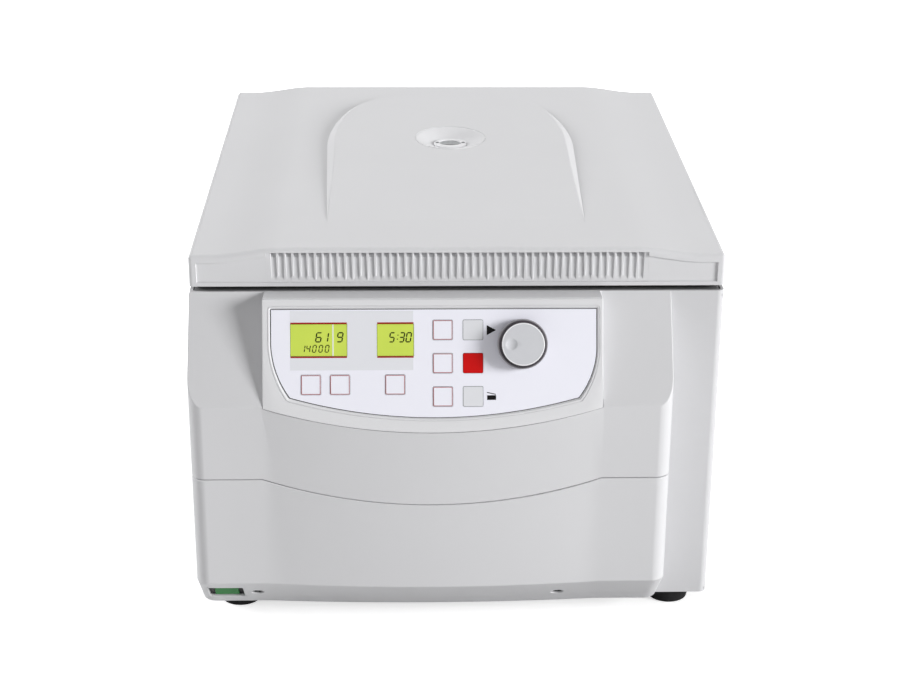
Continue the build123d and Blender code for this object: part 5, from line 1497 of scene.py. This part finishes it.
    def key_outline(self, name: str, x: float, down: float) -> None:
        """Print a thin square outline on one key.

        Args:
            name: Name of the key.
            x: Place of the key, across the console.
            down: Place of the key, down the console.
        """
        half = self.key_side / 2 - 0.25
        z = self.key_z
        line = trace(
            f"{name}_outline",
            [
                (x - half, -down + half, z),
                (x - half, -down - half, z),
                (x + half, -down - half, z),
                (x + half, -down + half, z),
            ],
        )
        with editing(line):
            bpy.ops.mesh.bevel(offset=0.8 * MM, segments=3, affect="VERTICES")
            pick_faces(line, lambda c, n: True)
            bpy.ops.mesh.inset(thickness=self.line * MM)
            bpy.ops.mesh.delete(type="FACE")
        thicken(line, (0, 0, self.ink))
        hand_over(settle(line, CONSOLE), name, PRINT_RED)

    def digit(self, figure: str, x: float, low: float, width: float, height: float) -> list[Object]:
        """Lay one slanted seven-segment figure on a display.

        Args:
            figure: A digit.
            x: Left end of the figure's foot.
            low: Distance of its foot from the console's top edge.
            width: Its width.
            height: Its height.

        Returns:
            The lit segments.
        """
        lit = {
            "0": "abcdef", "1": "bc", "3": "abcdg", "4": "bcfg", "5": "acdfg", "6": "acdefg", "9": "abcdfg",
        }[figure]
        stroke = 0.14 * height
        gap = 0.12
        z = self.screen_z + self.lit_z
        half = height / 2
        bars = {
            "a": ((0, height), (width, height)),
            "g": ((0, half), (width, half)),
            "d": ((0, 0), (width, 0)),
            "f": ((0, half), (0, height)),
            "e": ((0, 0), (0, half)),
            "b": ((width, half), (width, height)),
            "c": ((width, 0), (width, half)),
        }
        pieces = []
        for key in lit:
            (x1, y1), (x2, y2) = bars[key]
            along = Vector((x2 - x1, y2 - y1, 0)).normalized()
            side = Vector((-along.y, along.x, 0)) * stroke / 2
            tip = along * stroke / 2
            a = Vector((x1, y1, 0)) + along * gap
            b = Vector((x2, y2, 0)) - along * gap
            ring = [a, a + tip - side, b - tip - side, b, b - tip + side, a + tip + side]
            spots = [(x + p.x + self.slant * p.y, -low + p.y, z) for p in ring]
            bar = trace("segment", spots)
            thicken(bar, (0, 0, self.lit_high - self.lit_z))
            pieces.append(bar)
        return pieces

    def figures(self) -> None:
        """Show plain numbers on the two displays."""
        rows = (
            (33.3, 3.9, 7.2, (("6", -113.0), ("1", -107.6), ("9", -96.2))),
            (41.4, 2.6, 5.4, (("1", -124.6), ("4", -120.4), ("0", -115.6), ("0", -110.6), ("0", -105.6))),
            (33.5, 3.5, 7.2, (("5", -55.0), ("3", -47.2), ("0", -41.8))),
        )
        bars: list[Object] = []
        for low, width, height, figures in rows:
            for figure, x in figures:
                bars += self.digit(figure, x, low, width, height)
        z, top = self.screen_z + self.lit_z, self.screen_z + self.lit_high
        for down in (28.2, 31.3):
            x = -49.2 + self.slant * (33.5 - down)
            bars.append(block("colon", (x, -down - 0.4, z), (x + 0.8, -down + 0.4, top)))
        hand_over(settle(join(bars, "display_figures"), CONSOLE), Body.BASE, DIGITS)
        z = self.screen_z
        divider = block("display_divider", (-99.8, -44.4, z), (-98.7, -19.6, z + self.ink))
        hand_over(settle(divider, CONSOLE), Body.BASE, PRINT_WHITE)

    def knob(self) -> None:
        """Turn the knob's skirt, a dark band that paints the shade of the groove under the face, a light
        ring that paints a highlight round the face, and the face, and sink the finger dimple.
        """
        spot = Vector((self.knob_x, -self.knob_down, self.knob_out))
        place = CONSOLE @ Matrix.Translation(spot * MM)
        top = self.knob_h
        skirt = [
            (3.1, 0), (19.3, 0), (19.9, 0.6), (19.8, 3.0), (19.6, 6.6), (19.3, 7.1), (18.9, 7.3),
            (3.1, 7.3),
        ]
        side = settle(lathe("knob_grip", skirt, steps=128), place)
        hand_over(side, Body.KNOB, KNOB_SIDE, ["knob_skirt"])
        # A dark band between skirt and face paints the shade of the groove there.
        band = [
            (3.1, 7.3), (18.8, 7.3), (18.85, 8.4), (18.6, 9.2), (18.1, 9.7), (17.4, 9.9), (16.9, 9.9),
            (16.9, 8.2), (3.1, 8.2),
        ]
        hand_over(settle(lathe("knob_groove_shade", band, steps=128), place), Body.KNOB, KNOB_GROOVE_SHADE)
        # A thin near-white ring round the face paints a highlight all round it.
        rim = [(15.9, 10.6), (16.8, 10.6), (16.85, 11.0), (16.65, 11.3), (16.3, 11.45), (15.9, 11.35)]
        hand_over(settle(lathe("knob_highlight_rim", rim, steps=128), place), Body.KNOB, KNOB_RIM_HIGHLIGHT)
        face = [(0, 8.2), (16.7, 8.2), (16.7, 10.6), (15.9, 10.7), (15.9, 11.2), (15.6, top), (0, top)]
        cap = lathe("knob_face", face, steps=128)
        bpy.ops.object.select_all(action="DESELECT")
        bpy.ops.mesh.primitive_uv_sphere_add(
            segments=64,
            ring_count=48,
            radius=self.dimple_r * MM,
            location=(self.dimple_x * MM, 0, (top + self.dimple_up) * MM),
        )
        cut(cap, take("dimple_cutter"))
        hand_over(settle(cap, place), Body.KNOB, KNOB_FACE, ["knob_cap"])

    def outline(self, grow: float, z: float) -> list[Point]:
        """Outline of the membrane in the console's own frame, grown by a margin.

        Args:
            grow: Width of the margin.
            z: Height of the outline.

        Returns:
            Its points.
        """
        left, right = self.pocket[0] - grow, self.pocket[1] + grow
        # The sides draw in downwards on short arcs, and the lower edge is one long arc.
        middle = (left + right) / 2 + 8.0
        left_run = [(left, -35.0), (left + 4.0, -57.2 - 0.3 * grow), (left + 14.6, -77.4 - grow)]
        right_run = [(right, -41.0), (right - 4.0, -60.2 - 0.3 * grow), (right - 14.0, -78.0 - grow)]
        spots = [left_run[0]]
        for x, side in zip(self.pocket, (180, 90)):
            for k in range(5):
                turn = math.radians(side - 22.5 * k)
                across, up = grow * math.cos(turn), grow * math.sin(turn)
                spots.append((x + across, self.pocket_corner + up))
        spots += arc(*right_run, 10)
        spots += arc(right_run[2], (middle, -93.3 - grow), left_run[2], 40)
        spots += arc(*reversed(left_run), 10)
        return [(x, y, z) for x, y in spots]

    def grown(self, name: str, *rings: Pair) -> Object:
        """Join outlines of the membrane, each with its margin and height, into a solid."""
        return loft(name, [self.outline(grow, z) for grow, z in rings])

    def bezel(self) -> None:
        """Flare the pocket's edge, cut the groove round it and slope the corners away."""
        rim = rounded_copy("console_bezel", 0.0)
        settle(rim, CONSOLE.inverted())
        with editing(rim):
            pick_edges(
                rim,
                lambda a, b: min(a.z, b.z) > -0.05
                and (max(a.x, b.x) < -154.9 or min(a.x, b.x) > 114.4 or min(a.y, b.y) > -0.05),
            )
            bpy.ops.mesh.bevel(offset=0.9 * MM, segments=3, affect="EDGES")
        # The pocket widens towards the console's face.
        cut(rim, self.grown("flare_cutter", (0.5, -1.1), (1.8, 0.1), (1.8, 0.6)))
        # A narrow groove runs round the pocket.
        groove = self.grown("groove_cutter", (2.88, -0.6), (3.2, 0.3))
        cut(groove, self.grown("groove_core", (2.7, -0.65), (2.35, 0.35)))
        cut(rim, groove)
        # Outside a raised band round the pocket, the face slopes away.
        slope = block("slope_cutter", (-156, -106.6, -3.2), (115.5, 1, 0.5))
        cut(slope, self.grown("raised_band", (22.0, -3.4), (22.0, -2.1), (7.4, 0.0), (7.4, 0.8)))
        cut(rim, slope)
        hand_over(settle(rim, CONSOLE), Body.BASE, BEZEL, ["console_bezel"], angle=24)
        # A dark ring round the membrane's edge paints the shade of the gap between the membrane and its
        # pocket.
        edge = self.grown("membrane_gap_shade", (0.46, -1.16), (0.46, -0.75))
        cut(edge, self.grown("gap_shade_core", (0.03, -1.3), (0.03, -0.6)))
        # Black rubber finish here paints shade and does not stand for a real rubber strip.
        hand_over(settle(edge, CONSOLE), Body.BASE, RUBBER)

    def build(self) -> None:
        """Build the whole console."""
        self.bezel()
        for skin in self.skins:
            skin.build()
        self.prints()
        self.key_caps()
        self.figures()
        self.knob()


@dataclass
class Cabinet:
    """The housing, its deck, its rear panel and its feet."""

    skins: tuple[Skin, ...] = (
        Skin("housing", HOUSING, 0.0),
        Skin("deck_plate", STEEL, 0.3),
        Skin("base_plate", ZINC, 0.3),
        Skin("rear_panel", HOUSING, 0.3),
        Skin("power_inlet", BLACK, 0.4),
        Skin("fan_frame", BLACK, 0.5),
        Skin("fan_impeller", BLACK, 0.3, Body.FAN),
        Skin("feet", RUBBER, 1.0, segments=3),
        Skin("panel_screws", ZINC, 0.4),
    )

    def build(self) -> None:
        """Round and dress the cabinet's sheet and moulded parts."""
        for skin in self.skins:
            skin.build()


@dataclass
class Chamber:
    """The bowl, its gasket and the rotor."""

    skins: tuple[Skin, ...] = (
        Skin("chamber_bowl", BOWL_STEEL, 0.3),
        Skin("bowl_gasket", RUBBER, 0.0),
        Skin("shaft_boot", RUBBER, 0.4),
        Skin("rotor", ALLOY, 0.8, Body.ROTOR, segments=3),
        Skin("rotor_nut", ALLOY, 0.5, Body.ROTOR),
        Skin("drive_shaft", ZINC, 0.5, Body.ROTOR),
    )

    def build(self) -> None:
        """Round and dress the chamber's parts."""
        for skin in self.skins:
            skin.build()


@dataclass
class Inside:
    """What the housing hides. These frame nodes keep their own shapes."""

    finishes: dict[str, Finish] = field(
        default_factory=lambda: {
            "motor_posts": ZINC,
            "vibration_mounts": RUBBER,
            "motor_plate": ZINC,
            "motor_housing": MOTOR,
            "inverter_board": BOARD,
            "display_board": BOARD,
            "encoder": ZINC,
            "encoder_shaft": ZINC,
            "hinge_brackets": ZINC,
            "hinge_pins": ZINC,
            "latch_shaft": ZINC,
            "latch_hooks": ZINC,
            "latch_brackets": ZINC,
            "latch_motor": MOTOR,
            "foot_screws": ZINC,
        }
    )

    def build(self) -> None:
        """Dress each node."""
        for node, finish in self.finishes.items():
            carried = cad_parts[node]
            carried.data.materials.clear()
            carried.data.materials.append(finish.material())
            LOG.info("%s: carried over, finish %s", node, finish.name)


@dataclass
class Studio:
    """Camera, plain pale floor and soft lights.

    Attributes:
        eye: Place of the camera in millimetres.
        right: The camera's direction to the right.
        up: The camera's direction upwards.
        ahead: The camera's viewing direction.
        lens: Focal length.
        sensor: Width of the camera's sensor.
        far_clip: Distance in metres that the camera sees to.
        floor_side: Side of the floor in metres.
        floor_tone: Grey of the floor.
        floor_gloss: Roughness of the floor.
        light_distance: Distance of the lights in metres.
        fill: Strength of the world as a light on dull surfaces, where white is 1.
        near_glow: Glow of the floor beside the object, as the camera sees it.
        glow_reach: Distances in metres between which that glow rises to white.
        aim_z: Height in metres that the lights look at.
        lights: Name, turn, lift, side and power of each light.
    """

    eye: tuple[float, float, float] = (-39.45, -1500.4, 725.9)
    right: tuple[float, float, float] = (0.99970322, -0.02387613, 0.00483705)
    up: tuple[float, float, float] = (0.00370291, 0.34517848, 0.93852976)
    ahead: tuple[float, float, float] = (0.0240781, 0.93823331, -0.34516445)
    lens: float = 68.5
    sensor: float = 36.0
    far_clip: float = 100.0
    floor_side: float = 16.0
    floor_tone: float = 0.82
    floor_gloss: float = 0.9
    light_distance: float = 8.0
    fill: float = 0.28
    near_glow: float = 0.62
    glow_reach: Pair = (0.3, 0.62)
    aim_z: float = 0.2
    lights: tuple[tuple[str, float, float, float, float], ...] = (
        ("key_right", 63, 15, 2.6, 640),
        ("left_rear", -106, 24, 3.2, 450),
        ("rear_top", 180, 48, 4.0, 90),
    )

    def camera(self) -> None:
        """Stand the camera where the photograph was taken."""
        data = bpy.data.cameras.new("camera")
        data.lens = self.lens
        data.sensor_width = self.sensor
        data.clip_end = self.far_clip
        turn = Matrix((self.right, self.up, -Vector(self.ahead))).transposed().to_4x4()
        camera = bpy.data.objects.new("camera", data)
        camera.matrix_world = Matrix.Translation(Vector(self.eye) * MM) @ turn
        bpy.context.scene.collection.objects.link(camera)
        bpy.context.scene.camera = camera

    def floor(self) -> None:
        """Lay a wide pale floor that still takes the object's shadow."""
        bpy.ops.object.select_all(action="DESELECT")
        bpy.ops.mesh.primitive_plane_add(size=self.floor_side, location=(0, 0, 0))
        floor = take("studio_floor")
        made = bpy.data.materials.new("studio_floor")
        made.use_nodes = True
        wire = Wiring(made.node_tree)
        shader = made.node_tree.nodes["Principled BSDF"]
        tone = self.floor_tone
        shader.inputs["Base Color"].default_value = (tone, tone, tone, 1)
        shader.inputs["Roughness"].default_value = self.floor_gloss
        shader.inputs["Specular IOR Level"].default_value = 0.1
        seen = wire.add("LightPath").outputs["Is Camera Ray"]
        reach = wire.add("VectorMath", {0: wire.place()}, operation="LENGTH").outputs["Value"]
        near, far = self.glow_reach
        lift = wire.maths("MULTIPLY", seen, wire.ramp(reach, near, far, self.near_glow))
        wire.tree.links.new(lift, shader.inputs["Emission Strength"])
        shader.inputs["Emission Color"].default_value = (1, 1, 1, 1)
        floor.data.materials.append(made)

    def light(self, name: str, turn: float, lift: float, size: float, watts: float) -> None:
        """Hang one square soft light that looks at the object.

        Args:
            name: Name of the light.
            turn: Degrees to the right of the object's front.
            lift: Degrees above the floor.
            size: Side of the light in metres.
            watts: Its power.
        """
        data = bpy.data.lights.new(name, "AREA")
        data.size = size
        data.energy = watts
        around, above = math.radians(turn), math.radians(lift)
        level = math.cos(above)
        aim = Vector((math.sin(around) * level, -math.cos(around) * level, math.sin(above)))
        lamp = bpy.data.objects.new(name, data)
        lamp.location = aim * self.light_distance + Vector((0, 0, self.aim_z))
        lamp.rotation_euler = (-aim).to_track_quat("-Z", "Y").to_euler()
        bpy.context.scene.collection.objects.link(lamp)

    def world(self) -> None:
        """White for the camera, through glass and in reflections, and a soft fill for the rest."""
        world = bpy.data.worlds.new("studio")
        bpy.context.scene.world = world
        world.use_nodes = True
        wire = Wiring(world.node_tree)
        back = world.node_tree.nodes["Background"]
        path = wire.add("LightPath")
        seen = path.outputs["Is Camera Ray"]
        for kind in ("Is Transmission Ray", "Is Glossy Ray"):
            seen = wire.maths("MAXIMUM", seen, path.outputs[kind])
        level = wire.ramp(seen, 0.0, 1.0, self.fill)
        back.inputs[0].default_value = (1, 1, 1, 1)
        wire.tree.links.new(level, back.inputs[1])

    def build(self) -> None:
        """Set up the whole studio."""
        bpy.context.scene.view_settings.view_transform = "Standard"
        self.camera()
        self.floor()
        self.world()
        for light in self.lights:
            self.light(*light)


def main() -> None:
    """Build the object and its studio, piece by piece."""
    logging.basicConfig(level=logging.INFO, format="%(name)s %(message)s")
    for part in (Studio(), Lid(), FrontCover(), Console(), Cabinet(), Chamber(), Inside()):
        LOG.info("building %s", type(part).__name__)
        part.build()


if __name__ == "__main__":
    main()
